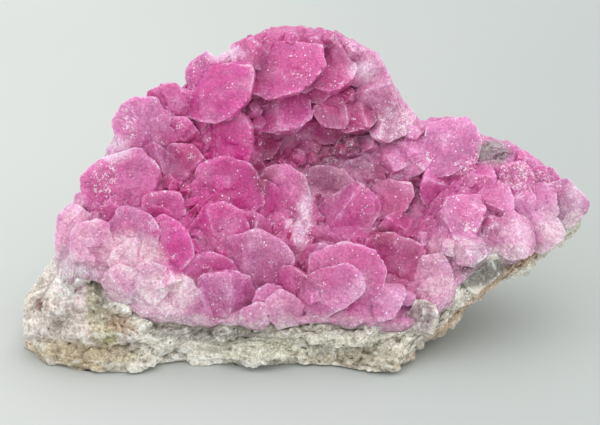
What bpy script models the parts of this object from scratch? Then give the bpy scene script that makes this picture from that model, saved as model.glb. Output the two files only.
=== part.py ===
"""A specimen of pink cobaltoan calcite crystals on a wedge of grey-white host rock.

Tables are in millimetres and degrees, and the scene is in metres with +Z up. The crystals are laid
out on a face plane that leans back from the vertical: "across" runs along +X, "up" is the distance
up that plane, "back" is the distance along +Y behind the front foot, and "proud" is a distance out
from the rock, square to the plane. The origin is in the middle of the flat underside.
"""

import bisect
import math
import random
from typing import NamedTuple

import bmesh
import bpy
from mathutils import Matrix, Vector

MM = 0.001

# Driving dimensions
LEAN = math.radians(25)
ORIGIN_BACK = 11.0
ROCK_SLICE = 1.6
CRUST_THICK = 1.6
CRUST_ROOT = 0.9
CRUST_ENDS = (-24.2, 27.4)
# The crust's thickness over the rock's cross-section, from the first point of the section it covers
CRUST_START = 6
CRUST_PROFILE = (0.42, 0.7, 0.9, 1.0, 1.0, 1.0, 1.0, 1.0, 0.9, 0.7, 0.45)
CLEARANCE = 0.36
SOLE_EDGE = 0.12

# Lumps of the rock as waves: how far each swings, its direction and pitch, and where it starts
ROCK_WAVES = (
    (0.30, (0.50, 0.20, 0.35), 0.4),
    (0.24, (-0.35, 0.75, 0.40), 2.2),
    (0.17, (0.95, 0.45, -0.80), 4.1),
    (0.12, (-1.30, 0.60, 1.10), 0.9),
)
LEDGE_DEPTH = 0.4

ALONG = Vector((1, 0, 0))
UPWARD = Vector((0, math.sin(LEAN), math.cos(LEAN)))
OUTWARD = Vector((0, -math.cos(LEAN), math.sin(LEAN)))


class Station(NamedTuple):
    """One cross-section of the rock: front foot, lip and rim of the growth face, and back heel."""

    across: float
    foot_back: float
    foot_z: float
    lip_back: float
    lip_up: float
    rim_back: float
    rim_up: float
    hollow: float
    heel_back: float
    heel_z: float


STATIONS = [
    Station(-27.6, 5.0, 0.5, 5.2, 6.0, 7.5, 7.0, 1.0, 9.0, 0.5),
    Station(-25.0, 2.8, 0.0, 3.4, 7.6, 8.0, 10.2, 1.1, 15.0, 0.0),
    Station(-22.0, 0.4, 0.0, 2.0, 11.0, 9.5, 16.3, 1.1, 19.5, 0.0),
    Station(-19.0, 0.0, 0.0, 2.2, 9.5, 11.5, 20.5, 1.2, 21.0, 0.0),
    Station(-16.0, 0.2, 0.0, 1.8, 6.3, 13.5, 25.3, 1.25, 22.5, 0.0),
    Station(-12.0, 1.2, 0.7, 2.2, 5.5, 15.5, 26.8, 1.3, 23.5, 0.0),
    Station(-8.0, 1.5, 0.7, 2.3, 5.2, 18.0, 30.0, 1.6, 25.0, 0.0),
    Station(-4.0, 1.0, 0.4, 2.0, 5.0, 20.0, 32.2, 2.0, 26.0, 0.0),
    Station(0.0, 1.4, 0.6, 2.0, 5.2, 21.0, 32.9, 2.3, 26.5, 0.0),
    Station(4.0, 1.2, 0.4, 2.0, 5.3, 21.2, 32.4, 2.3, 26.5, 0.0),
    Station(8.0, 0.0, 0.0, 1.8, 4.8, 20.8, 29.6, 2.0, 25.5, 0.0),
    Station(10.0, 0.6, 0.2, 2.0, 4.6, 20.2, 26.0, 1.8, 24.5, 0.0),
    Station(12.0, 1.6, 1.8, 2.6, 5.2, 19.6, 23.8, 1.6, 23.0, 0.8),
    Station(15.0, 3.2, 4.6, 3.8, 7.6, 19.0, 24.0, 1.4, 21.0, 3.6),
    Station(18.0, 4.8, 6.6, 5.4, 10.6, 18.2, 22.3, 1.3, 19.5, 6.2),
    Station(21.0, 6.0, 7.9, 6.6, 11.4, 17.2, 21.6, 1.2, 18.5, 8.0),
    Station(24.0, 8.0, 9.6, 8.4, 12.6, 15.8, 19.8, 1.1, 17.0, 9.8),
    Station(27.0, 10.0, 11.0, 10.3, 14.6, 13.8, 17.6, 1.0, 14.5, 11.4),
    Station(28.1, 11.2, 11.6, 11.3, 15.4, 12.8, 17.0, 1.0, 13.2, 11.6),
]


class Crystal(NamedTuple):
    """One crystal: its middle on the face plane, its size, and where its tip points."""

    across: float
    up: float
    length: float
    width: float
    aim: float
    toward: float
    proud: float
    flat: float = 0.85
    roll: float = 0.0
    form: str = "leaf"


CRYSTALS = [
    # Left shoulder and rim
    Crystal(-16.0, 24.3, 6.6, 4.6, 118, 25, 1.5, 0.75, 15),
    Crystal(-13.2, 26.5, 4.4, 3.6, 105, 35, 1.0, 0.85, 0),
    Crystal(-9.6, 29.3, 4.8, 4.0, 125, 30, 0.9, 0.8, 20),
    Crystal(-7.9, 27.7, 8.2, 5.8, -12, 38, 2.8, 0.85, 30, "rhomb"),
    Crystal(-12.6, 23.7, 4.6, 4.0, 60, 45, 1.3, 0.9, 10),
    Crystal(-14.4, 20.9, 4.8, 3.4, 105, 35, 1.0, 0.8, 20),
    Crystal(-11.7, 20.0, 5.4, 4.0, 75, 35, 1.0, 0.8, -15),
    Crystal(-17.9, 18.2, 7.8, 7.0, 118, 28, 1.8, 0.65, 0),
    Crystal(-22.0, 14.2, 7.0, 3.4, 98, 15, 1.0, 0.8, 0),
    Crystal(-20.5, 12.4, 5.6, 3.0, 95, 20, 1.3, 0.8, 15),
    Crystal(-16.9, 14.0, 4.8, 4.2, 70, 32, 2.2, 0.75, 20),
    Crystal(-13.4, 16.0, 5.2, 4.6, 100, 35, 2.0, 0.8, 0),
    Crystal(-13.2, 12.4, 6.4, 5.0, 30, 38, 2.4, 0.75, 0),
    Crystal(-16.6, 10.4, 5.0, 4.4, 130, 45, 1.0, 0.75, 15),
    Crystal(-12.6, 9.2, 5.0, 4.6, 80, 45, 1.6, 0.8, -20),
    Crystal(-15.2, 7.6, 4.4, 4.0, 100, 50, 0.8, 0.8, 0),
    Crystal(-11.4, 7.1, 4.2, 3.8, -80, 55, 1.4, 0.95, 20, "rhomb"),
    # Middle, from the hollow down to the front lip
    Crystal(-7.0, 23.4, 7.4, 5.8, -25, 42, 2.0, 0.85, 30, "rhomb"),
    Crystal(-7.0, 17.8, 8.8, 7.6, 92, 24, 2.8, 0.6, 0),
    Crystal(-4.3, 15.6, 7.4, 4.0, 95, 28, 3.2, 0.75, -15),
    Crystal(-8.2, 13.4, 7.8, 6.2, 100, 30, 3.4, 0.65, 10),
    Crystal(-4.4, 10.4, 8.0, 7.4, 75, 32, 3.4, 0.65, 10),
    Crystal(-9.0, 9.2, 5.6, 4.8, 110, 42, 2.2, 0.75, 0),
    Crystal(-6.8, 7.2, 6.0, 5.4, 80, 45, 1.8, 0.75, 15),
    Crystal(-1.5, 16.6, 9.8, 4.5, 92, 22, 4.3, 0.75, 0),
    Crystal(0.6, 14.0, 8.0, 2.8, 86, 26, 3.4, 0.75, 30),
    Crystal(3.6, 17.2, 7.0, 4.8, 65, 28, 2.8, 0.7, 0),
    Crystal(5.0, 15.0, 8.0, 5.4, 50, 32, 4.0, 0.75, 15),
    Crystal(2.4, 12.0, 4.6, 3.6, 60, 40, 2.4, 0.85, 0),
    Crystal(1.0, 10.2, 5.8, 4.2, 25, 35, 2.4, 0.8, 10),
    Crystal(-1.0, 8.1, 4.8, 4.2, 110, 45, 2.6, 0.8, 0),
    Crystal(5.2, 8.8, 10.2, 6.4, 34, 20, 3.2, 0.55, 0),
    Crystal(3.9, 7.4, 7.2, 3.8, 25, 24, 4.8, 0.5, 8),
    Crystal(-1.8, 6.3, 5.0, 3.4, 140, 32, 2.2, 0.55, 0),
    Crystal(-4.4, 5.6, 3.8, 3.2, 100, 40, 1.8, 0.6, 15),
    Crystal(9.2, 16.8, 4.8, 4.3, -40, 42, 2.6, 0.9, 10, "rhomb"),
    Crystal(10.2, 13.6, 5.6, 4.0, 150, 38, 2.0, 0.8, 0, "rhomb"),
    Crystal(10.4, 10.0, 7.0, 5.6, 60, 35, 2.2, 0.7, 10),
    Crystal(9.0, 6.8, 4.6, 4.0, -60, 45, 2.0, 0.85, 0, "rhomb"),
    Crystal(13.2, 8.6, 6.4, 4.8, -10, 38, 1.7, 0.75, 15),
    # The hollow and the wall above it
    Crystal(-3.6, 22.0, 4.2, 3.8, -60, 45, 1.2, 0.85, 0, "rhomb"),
    Crystal(0.3, 22.2, 4.0, 3.4, -50, 50, 1.0, 0.85, 30, "rhomb"),
    Crystal(2.4, 23.2, 3.0, 2.6, -120, 45, 1.3, 0.9, 10),
    Crystal(6.0, 20.5, 3.6, 3.4, 80, 50, 1.6, 1.0, 0, "rhomb"),
    Crystal(7.6, 19.0, 3.8, 3.2, -20, 45, 1.2, 0.9, 20, "rhomb"),
    Crystal(-1.7, 25.2, 5.2, 4.7, -75, 48, 2.6, 0.85, 15, "rhomb"),
    Crystal(3.2, 25.8, 5.0, 4.2, -130, 45, 2.0, 0.85, 0, "rhomb"),
    Crystal(5.7, 26.4, 5.4, 4.2, -80, 45, 2.0, 0.8, 25, "rhomb"),
    Crystal(3.7, 29.5, 4.4, 3.9, -70, 48, 1.8, 0.9, 10, "rhomb"),
    Crystal(-1.1, 30.0, 7.4, 6.9, -50, 48, 2.6, 0.8, 20, "rhomb"),
    # Back rim
    Crystal(-1.6, 32.0, 8.4, 4.0, 172, 12, 0.6, 0.8, 0),
    Crystal(2.8, 31.9, 5.6, 4.4, 45, 28, 1.0, 0.8, 15),
    Crystal(6.7, 29.9, 4.8, 4.0, 50, 32, 0.9, 0.85, 0),
    Crystal(8.0, 27.4, 5.0, 4.4, 20, 42, 1.3, 0.85, 10),
    Crystal(8.8, 24.1, 6.2, 4.4, -110, 38, 1.8, 0.75, 0),
    # Right arm
    Crystal(9.4, 20.9, 4.6, 3.8, -60, 35, 1.5, 0.85, 0, "rhomb"),
    Crystal(11.8, 21.2, 5.0, 4.2, -25, 40, 2.4, 0.85, 10, "rhomb"),
    Crystal(15.4, 22.0, 6.8, 6.4, -40, 42, 1.6, 0.75, 0, "rhomb"),
    Crystal(14.2, 18.0, 5.2, 4.6, 150, 42, 1.8, 0.85, 20, "rhomb"),
    Crystal(13.0, 15.6, 5.2, 3.6, -100, 40, 1.4, 0.8, 0, "rhomb"),
    Crystal(16.0, 15.3, 6.2, 5.2, -50, 42, 3.0, 0.8, 15, "rhomb"),
    Crystal(17.5, 18.7, 5.4, 4.4, -15, 38, 1.8, 0.8, 0, "rhomb"),
    Crystal(19.0, 13.4, 4.6, 3.0, -95, 32, 1.2, 0.85, 30),
    Crystal(20.4, 15.9, 4.8, 3.8, -10, 38, 1.7, 0.8, 0),
    Crystal(21.5, 13.4, 5.2, 3.9, -85, 32, 1.4, 0.75, 10),
    Crystal(21.6, 18.6, 5.0, 4.4, 50, 36, 1.6, 0.8, 0),
    Crystal(24.5, 18.4, 4.2, 3.8, 60, 32, 1.1, 0.85, 10),
    Crystal(24.0, 16.3, 4.6, 4.0, -40, 42, 1.5, 0.8, 0, "rhomb"),
    Crystal(24.7, 13.9, 4.6, 3.6, -40, 30, 1.0, 0.8, 15),
    Crystal(26.3, 16.6, 4.8, 3.6, -30, 25, 0.8, 0.8, 0),
]

# Broken chunks of the rock itself, laid out in the same way
CHUNKS = [
    # Left end: steep columns, a stained ridge and a bright broken corner
    Crystal(-24.0, 5.2, 6.0, 4.4, 66, 6, -0.9, 0.7, 10, "block"),
    Crystal(-22.8, 8.0, 6.6, 3.4, 72, 6, -0.4, 0.7, 25, "block"),
    Crystal(-21.2, 5.8, 6.6, 3.4, 80, 8, 0.0, 0.7, 0, "block"),
    Crystal(-19.6, 6.4, 8.0, 2.8, 84, 6, 0.3, 0.8, 35, "block"),
    Crystal(-23.2, 2.2, 6.0, 3.4, 12, 8, -0.5, 0.8, 10, "block"),
    Crystal(-18.0, 6.4, 2.6, 2.2, 25, 40, 0.4, 0.8, 0, "block"),
    Crystal(-16.8, 4.8, 4.0, 2.0, -25, 15, 0.2, 0.8, 20, "block"),
    Crystal(-18.2, 2.2, 6.4, 3.0, 8, 6, -0.2, 0.8, 0, "block"),
    # Front band: ledges
    Crystal(-13.6, 2.9, 6.4, 2.0, 20, 4, 0.1, 0.8, 0, "block"),
    Crystal(-9.4, 2.6, 6.6, 1.8, -10, 4, -0.1, 0.8, 25, "block"),
    Crystal(-8.0, 1.5, 7.6, 1.6, 4, 4, 0.1, 0.8, 15, "block"),
    Crystal(-3.0, 1.5, 8.0, 1.9, 3, 4, -0.1, 0.8, 0, "block"),
    Crystal(-2.4, 3.2, 7.0, 1.7, -5, 4, -0.2, 0.8, 30, "block"),
    Crystal(3.6, 1.7, 7.6, 1.8, -4, 4, -0.1, 0.8, 20, "block"),
    Crystal(4.6, 3.4, 6.4, 1.7, 5, 4, -0.2, 0.8, 0, "block"),
    Crystal(8.8, 1.6, 5.4, 2.4, 12, 4, -0.2, 0.8, 10, "block"),
    # Under the right arm
    Crystal(12.3, 5.2, 3.2, 2.8, 60, 15, 0.0, 0.8, 0, "block"),
    Crystal(18.0, 9.4, 5.0, 3.0, 35, 6, 0.0, 0.8, 10, "block"),
]

# Rings of faces of each form of crystal: rise from its waist, azimuths with 90 at its broad front,
# how pointed it is there (2 is round), and how close the faces are set
FORMS = {
    "leaf": (
        (5, (90, 270), 2.0, 0.80),
        (7, (24, 156, 204, 336), 2.0, 1.0),
        (38, (28, 152, 208, 332), 2.2, 1.0),
        (32, (90,), 2.2, 0.88),
        (64, (90, 210, 330), 2.5, 1.0),
        (-50, (30, 150, 270), 3.0, 1.0),
    ),
    "rhomb": (
        (9, (30, 90, 150, 210, 270, 330), 2.0, 1.0),
        (43, (90, 210, 330), 4.0, 0.96),
        (-50, (30, 150, 270), 4.0, 1.0),
    ),
    "small": (
        (8, (18, 90, 162, 234, 306), 2.0, 1.0),
        (45, (90, 210, 330), 3.0, 1.0),
        (-55, (30, 150, 270), 4.0, 1.0),
    ),
    "block": (
        (6, (35, 90, 150, 215, 270, 325), 1.8, 0.94),
        (58, (90, 250), 1.6, 0.9),
        (-58, (100, 280), 1.6, 0.9),
    ),
}

# Small crystals that fill the gaps: their spacing on the face and their range of sizes
FILL_SPACING = 2.8
FILL_LENGTH = (1.9, 2.8)
FILL_CLEAR = 0.28
FILL_SEED = 11


def height(up, back):
    """The Z of a point that is that far up the leaning face plane and that far back."""
    return (up - back * math.sin(LEAN)) / math.cos(LEAN)


def placed(across, back, z):
    """A point of the scene, still in millimetres, from its across, back and Z."""
    return Vector((across, back - ORIGIN_BACK, z))


def station_at(across):
    """The cross-section at any place along the rock, on smooth curves through the stations."""
    places = [station.across for station in STATIONS]
    last = len(STATIONS) - 1
    after = min(max(bisect.bisect_right(places, across), 1), last)
    first, second = STATIONS[after - 1], STATIONS[after]
    before, beyond = STATIONS[max(after - 2, 0)], STATIONS[min(after + 1, last)]
    span = second.across - first.across
    t = min(max((across - first.across) / span, 0.0), 1.0)
    rise, fall = t * t * (3 - 2 * t), t * (1 - t)
    values = [across]
    for field in Station._fields[1:]:
        low, high = getattr(first, field), getattr(second, field)
        slope_low = (high - getattr(before, field)) / (second.across - before.across)
        slope_high = (getattr(beyond, field) - low) / (beyond.across - first.across)
        bend = fall * span * ((1 - t) * slope_low - t * slope_high)
        values.append(low + (high - low) * rise + bend)
    return Station(*values)


def growth_back(station, share):
    """How far back the growth face is at a share of the way from its lip to its rim."""
    eased = 1 - (1 - min(max(share, 0.0), 1.0)) ** station.hollow
    return station.lip_back + (station.rim_back - station.lip_back) * eased


def growth_point(station, share):
    """A (back, z) point of the growth face, at a share of the way from its lip to its rim."""
    up = station.lip_up + (station.rim_up - station.lip_up) * share
    back = growth_back(station, share)
    return Vector((back, height(up, back)))


def rock_section(station):
    """The rock's cross-section from its flat sole round by the front, as (back, z, roughness)."""
    foot = Vector((station.foot_back, station.foot_z))
    lip = growth_point(station, 0.0)
    rim = growth_point(station, 1.0)
    heel = Vector((station.heel_back, station.heel_z))
    room = heel.x - foot.x
    rough = min(1.0, max(0.0, 0.1 * room - 0.3))
    sole_front = Vector((foot.x + 0.12 * room, max(0.0, foot.y - 1.2)))
    sole_back = Vector((heel.x - 0.12 * room, max(0.0, heel.y - 0.4)))
    crest = Vector((rim.x + min(1.5, 0.2 * room), rim.y - 0.3))
    points = [(point, rough) for point in (sole_back, sole_back.lerp(sole_front, 0.5), sole_front)]
    points.append((foot, rough))
    for share, bulge in ((0.25, 0.3), (0.55, 0.25), (0.85, 0.1)):
        points.append((foot.lerp(lip, share) + Vector((-bulge * rough, 0)), 1.2 * rough))
    points += [(growth_point(station, index / 8), 0.5 * rough) for index in range(9)]
    points.append((crest, 0.5 * rough))
    for share, bulge in ((0.22, 0.7), (0.45, 0.9), (0.7, 0.6)):
        points.append((crest.lerp(heel, share) + Vector((bulge * rough, 0)), rough))
    points.append((heel, rough))
    return [(point.x, point.y, amount) for point, amount in points]


def roughened(at, amount):
    """A rock point pushed about by lumps and level ledges; the flat sole stays put."""
    if at.z <= 0.0:
        return Vector((at.x, at.y, 0.0))
    lump = Vector()
    for swing, wave, start in ROCK_WAVES:
        turn = at.dot(Vector(wave)) + start
        lump += swing * Vector((math.sin(turn), math.sin(turn + 2.1), math.sin(turn + 4.2)))
    ledge = LEDGE_DEPTH * math.sin(2.2 * at.z + 0.9 * math.sin(0.37 * at.x) + 0.3 * at.y)
    pushed = at + (lump + Vector((0.0, ledge, 0.0))) * amount
    pushed.z = max(pushed.z, 0.0)
    return pushed


def loft(rings):
    """A closed skin through rings of points, with a face across each end."""
    mesh = bmesh.new()
    rows = [[mesh.verts.new(point) for point in ring] for ring in rings]
    count = len(rows[0])
    for near, far in zip(rows, rows[1:]):
        for index in range(count):
            after = (index + 1) % count
            mesh.faces.new((near[index], near[after], far[after], far[index]))
    mesh.faces.new(rows[0])
    mesh.faces.new(rows[-1])
    mesh.normal_update()
    bmesh.ops.triangulate(mesh, faces=mesh.faces)
    bmesh.ops.recalc_face_normals(mesh, faces=mesh.faces)
    return mesh


def new_object(name, mesh, colour, roughness):
    """An object in metres made from a bmesh in millimetres, with a material of its own."""
    mesh.transform(Matrix.Scale(MM, 4))
    data = bpy.data.meshes.new(name)
    mesh.to_mesh(data)
    mesh.free()
    obj = bpy.data.objects.new(name, data)
    bpy.context.scene.collection.objects.link(obj)
    material = bpy.data.materials.new(name)
    material.use_nodes = True
    shader = material.node_tree.nodes["Principled BSDF"]
    shader.inputs["Base Color"].default_value = (*colour, 1.0)
    shader.inputs["Roughness"].default_value = roughness
    data.materials.append(material)
    return obj


def as_guide(obj):
    """Keeps a cutter or a helper out of the finished object."""
    obj.hide_render = True
    obj.display_type = "WIRE"
    return obj


def rock_ring(across):
    """The rock's cross-section at one place, as a ring of points."""
    section = rock_section(station_at(across))
    return [roughened(placed(across, back, z), rough) for back, z, rough in section]


def slices(first, last):
    """Evenly spaced places along the rock."""
    steps = round((last - first) / ROCK_SLICE)
    return [first + (last - first) * step / steps for step in range(steps + 1)]


def rock_rings():
    """The rock's cross-sections from its left end to its right."""
    return [rock_ring(across) for across in slices(STATIONS[0].across, STATIONS[-1].across)]


def guides(name, crystals):
    """A collection of crystals that are only there to be joined to something or cut from it."""
    collection = bpy.data.collections.new(name)
    bpy.context.scene.collection.children.link(collection)
    for number, crystal in enumerate(crystals):
        obj = new_object(f"{name}_{number:03d}", crystal_mesh(crystal), (0.5, 0.5, 0.5), 1.0)
        bpy.context.scene.collection.objects.unlink(obj)
        collection.objects.link(as_guide(obj))
    return collection


def combine(obj, name, operation, collection):
    """A Boolean between an object and every guide of a collection."""
    boolean = obj.modifiers.new(name, "BOOLEAN")
    boolean.operation = operation
    boolean.operand_type = "COLLECTION"
    boolean.collection = collection


def make_matrix():
    """The host rock: a wedge with a flat sole, a broken front band and an overhanging arm."""
    matrix = new_object("matrix", loft(rock_rings()), (0.62, 0.60, 0.55), 0.85)
    combine(matrix, "chunks", "UNION", guides("chunk", CHUNKS))
    return matrix


def make_clearance():
    """The rock grown by the clearance, which cuts the underside of the druse."""
    cutter = as_guide(new_object("rock_clearance", loft(rock_rings()), (0.5, 0.5, 0.5), 1.0))
    grow = cutter.modifiers.new("grow", "DISPLACE")
    grow.direction = "NORMAL"
    grow.mid_level = 0.0
    grow.strength = CLEARANCE * MM
    return cutter


def crust_rings():
    """The crust's cross-sections: a layer that follows the rock from below its lip to its crest."""
    places = slices(*CRUST_ENDS)
    rings = []
    for number, across in enumerate(places):
        ring = rock_ring(across)
        taper = min(1.0, 0.5 + 0.25 * min(number, len(places) - 1 - number))
        outer, inner = [], []
        for index, share in enumerate(CRUST_PROFILE, start=CRUST_START):
            along = ring[index + 1] - ring[index - 1]
            normal = Vector((0, -along.z, along.y)).normalized()
            outer.append(ring[index] + normal * CRUST_THICK * share * taper)
            inner.append(ring[index] - normal * CRUST_ROOT * share**2 * taper)
        rings.append(outer + inner[::-1])
    return rings


def crystal_planes(crystal):
    """The faces of a crystal as (direction, distance) from its middle, all about an ogive.

    Each face is turned and set in or out by a little that depends on where the crystal stands, so
    that no two crystals are quite alike.
    """
    planes = []
    half, side = crystal.length / 2, crystal.width / 2
    for rise, azimuths, fullness, closeness in FORMS[crystal.form]:
        tilt = math.radians(rise)
        reach = (side * math.cos(tilt)) ** fullness + (half * abs(math.sin(tilt))) ** fullness
        distance = closeness * reach ** (1 / fullness)
        for azimuth in azimuths:
            chance = math.sin(3.1 * crystal.across + 5.7 * crystal.up + 2.3 * len(planes))
            turn = math.radians(azimuth + 7 * chance)
            flat = math.cos(tilt)
            direction = Vector((math.cos(turn) * flat, math.sin(turn) * flat, math.sin(tilt)))
            planes.append((direction, distance * (1 - 0.06 * chance**2)))
    return planes


def crystal_pose(crystal):
    """The matrix that puts a crystal in its place, with its tip along its own +Z."""
    station = station_at(crystal.across)
    share = (crystal.up - station.lip_up) / (station.rim_up - station.lip_up)
    back = growth_back(station, share)
    middle = placed(crystal.across, back, height(crystal.up, back)) + OUTWARD * crystal.proud
    aim, toward = math.radians(crystal.aim), math.radians(crystal.toward)
    in_plane = ALONG * math.cos(aim) + UPWARD * math.sin(aim)
    axis = in_plane * math.cos(toward) + OUTWARD * math.sin(toward)
    thin = (OUTWARD * math.cos(toward) - in_plane * math.sin(toward)).normalized()
    wide = thin.cross(axis).normalized()
    frame = Matrix((wide, thin, axis)).transposed().to_4x4()
    squeeze = Matrix.Diagonal((1.0, crystal.flat, 1.0, 1.0))
    spin = Matrix.Rotation(math.radians(crystal.roll), 4, "Z")
    return Matrix.Translation(middle) @ frame @ squeeze @ spin


def slice_off(mesh, at, direction):
    """Cuts off whatever lies beyond a plane and closes the cut."""
    parts = mesh.verts[:] + mesh.edges[:] + mesh.faces[:]
    cut = bmesh.ops.bisect_plane(
        mesh, geom=parts, plane_co=at, plane_no=direction, clear_outer=True
    )
    edges = [part for part in cut["geom_cut"] if isinstance(part, bmesh.types.BMEdge)]
    if edges:
        bmesh.ops.edgeloop_fill(mesh, edges=edges)


def crystal_mesh(crystal):
    """A block cut down to a crystal by its face planes, and kept above the flat sole."""
    mesh = bmesh.new()
    bmesh.ops.create_cube(mesh, size=3 * crystal.length)
    for direction, distance in crystal_planes(crystal):
        slice_off(mesh, direction * distance, direction)
    mesh.normal_update()
    bmesh.ops.recalc_face_normals(mesh, faces=mesh.faces)
    mesh.transform(crystal_pose(crystal))
    slice_off(mesh, Vector((0, 0, SOLE_EDGE)), Vector((0, 0, -1)))
    mesh.normal_update()
    bmesh.ops.recalc_face_normals(mesh, faces=mesh.faces)
    return mesh


def filling_crystals():
    """Small crystals on a loose grid over the face, wherever no larger one stands."""
    rng = random.Random(FILL_SEED)
    found = []
    across = CRUST_ENDS[0] + 1.5
    while across < CRUST_ENDS[1] - 1.5:
        station = station_at(across)
        up = station.lip_up + 0.8
        while up < station.rim_up - 0.4:
            place = (across + rng.uniform(-0.7, 0.7), up + rng.uniform(-0.7, 0.7))
            length = rng.uniform(*FILL_LENGTH)
            aim, toward = rng.uniform(0, 360), rng.uniform(35, 70)
            clear = all(
                math.hypot(place[0] - big.across, place[1] - big.up)
                > FILL_CLEAR * (big.width + length)
                for big in CRYSTALS
            )
            if clear:
                shape = (length, 0.8 * length, aim, toward, 1.3, 0.9, 0.0, "small")
                found.append(Crystal(*place, *shape))
            up += FILL_SPACING
        across += FILL_SPACING
    return found


def make_druse(cutter):
    """The crust with every crystal joined to it, cut clear of the rock beneath."""
    druse = new_object("calcite_druse", loft(crust_rings()), (0.83, 0.36, 0.60), 0.35)
    combine(druse, "crystals", "UNION", guides("crystal", CRYSTALS + filling_crystals()))
    cut = druse.modifiers.new("rock", "BOOLEAN")
    cut.operation = "DIFFERENCE"
    cut.object = cutter
    wider = 3 * CLEARANCE
    grown = [
        chunk._replace(length=chunk.length + wider, width=chunk.width + wider) for chunk in CHUNKS
    ]
    combine(druse, "chunks", "DIFFERENCE", guides("chunk_clearance", grown))
    return druse


def keep_largest_body(obj):
    """Applies an object's Booleans and keeps its largest body, without the chips that a cut leaves."""
    bpy.context.view_layer.update()
    graph = bpy.context.evaluated_depsgraph_get()
    data = bpy.data.meshes.new_from_object(obj.evaluated_get(graph))
    mesh = bmesh.new()
    mesh.from_mesh(data)
    bodies, seen = [], set()
    for start in mesh.verts:
        if start in seen:
            continue
        body, edge_of_search = {start}, [start]
        while edge_of_search:
            vert = edge_of_search.pop()
            for edge in vert.link_edges:
                other = edge.other_vert(vert)
                if other not in body:
                    body.add(other)
                    edge_of_search.append(other)
        seen |= body
        bodies.append(body)
    bodies.sort(key=len)
    chips = [vert for body in bodies[:-1] for vert in body]
    bmesh.ops.delete(mesh, geom=chips, context="VERTS")
    mesh.to_mesh(data)
    mesh.free()
    obj.modifiers.clear()
    obj.data = data


def main():
    """Builds the specimen."""
    for obj in list(bpy.data.objects):
        bpy.data.objects.remove(obj)
    make_matrix()
    keep_largest_body(make_druse(make_clearance()))


main()
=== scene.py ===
"""The looks of a cobaltoan calcite specimen: a pink crystal druse on a wedge of grey-white rock.

Every table is in millimetres and degrees. The crystals are laid out on a face plane that leans
back: "across" runs along +X, "up" is the distance up that plane, "back" is the distance along +Y
behind the front foot and "proud" is a distance out from the rock, square to the plane. Meshes are
worked out in millimetres as whole numpy arrays and put into Blender in metres. A "seed" is a number
that picks one of many alike patterns, and has no other meaning.
"""

import itertools
import logging
import math
from dataclasses import dataclass, field
from enum import Enum
from typing import NamedTuple, Optional

import bpy
import numpy as np
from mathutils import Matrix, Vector


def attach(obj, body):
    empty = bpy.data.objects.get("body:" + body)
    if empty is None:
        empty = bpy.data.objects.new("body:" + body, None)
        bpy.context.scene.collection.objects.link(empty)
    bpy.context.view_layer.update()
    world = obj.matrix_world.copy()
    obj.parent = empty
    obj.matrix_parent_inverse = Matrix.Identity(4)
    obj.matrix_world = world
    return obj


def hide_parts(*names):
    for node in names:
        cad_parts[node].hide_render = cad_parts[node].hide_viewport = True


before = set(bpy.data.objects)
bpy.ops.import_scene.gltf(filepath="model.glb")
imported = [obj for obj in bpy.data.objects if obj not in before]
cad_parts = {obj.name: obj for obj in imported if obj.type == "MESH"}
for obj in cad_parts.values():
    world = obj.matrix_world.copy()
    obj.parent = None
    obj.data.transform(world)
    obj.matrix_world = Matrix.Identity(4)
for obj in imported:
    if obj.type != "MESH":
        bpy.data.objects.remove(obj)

LOG = logging.getLogger("specimen")
MM = 0.001
Array = np.ndarray
Socket = bpy.types.NodeSocket
Triple = tuple[float, float, float]
Colour = Triple

# What makes one cell's number unlike the next: turns for each of its coordinates and for the seed
CELL_TURNS = np.array([127.1, 311.7, 74.7])
SEED_TURN = 43.7
SINE_SCALE = 43758.5453

# A chip's height: how much its tilt and its own level count
CHIP_TILT = 1.1
CHIP_LEVEL = 0.8

# A spot is whole within the first share of its reach and gone beyond the second, give or take
SPOT_EDGE = (0.55, 1.15)
SPOT_WANDER = 0.3


def shade(red: float, green: float, blue: float) -> Colour:
    """Turns a display colour of 0 to 255 into the linear colour that shaders use.

    Args:
        red: Display red.
        green: Display green.
        blue: Display blue.

    Returns:
        The linear red, green and blue.
    """
    def linear(value: float) -> float:
        """One channel, by the display curve of 2.4 with its straight foot."""
        value /= 255.0
        return value / 12.92 if value <= 0.04045 else ((value + 0.055) / 1.055) ** 2.4

    return (linear(red), linear(green), linear(blue))


def smooth_step(low: float, high: float, value: Array) -> Array:
    """0 below low, 1 above high, and 3t^2 - 2t^3 between them.

    Args:
        low: Where the rise begins.
        high: Where it ends.
        value: The values to ease.

    Returns:
        The eased values.
    """
    t = np.clip((value - low) / (high - low), 0.0, 1.0)
    return t * t * (3.0 - 2.0 * t)


def scattered(cells: Array, seed: float) -> Array:
    """A number from 0 to 1 for each whole-numbered cell: the part after the point of a large sine.

    Args:
        cells: Whole cell coordinates, three to a row.
        seed: Picks another set of numbers.

    Returns:
        One number for each cell.
    """
    turn = np.sin(cells @ CELL_TURNS + SEED_TURN * seed) * SINE_SCALE
    return turn - np.floor(turn)


def soft_noise(points: Array, size: float, seed: float) -> Array:
    """Smooth noise from -1 to 1: eight random cell corners blended by t^2 (3 - 2t) along each side.

    Args:
        points: Places in millimetres.
        size: The side of a cell.
        seed: Picks another pattern.

    Returns:
        One value for each point.
    """
    scaled = points / size
    cell = np.floor(scaled)
    t = scaled - cell
    t = t * t * (3.0 - 2.0 * t)
    total = np.zeros(points.shape[:-1])
    for corner in itertools.product((0.0, 1.0), repeat=3):
        step = np.array(corner)
        weight = np.prod(np.where(step > 0.5, t, 1.0 - t), axis=-1)
        total += weight * (2.0 * scattered(cell + step, seed) - 1.0)
    return total


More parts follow.
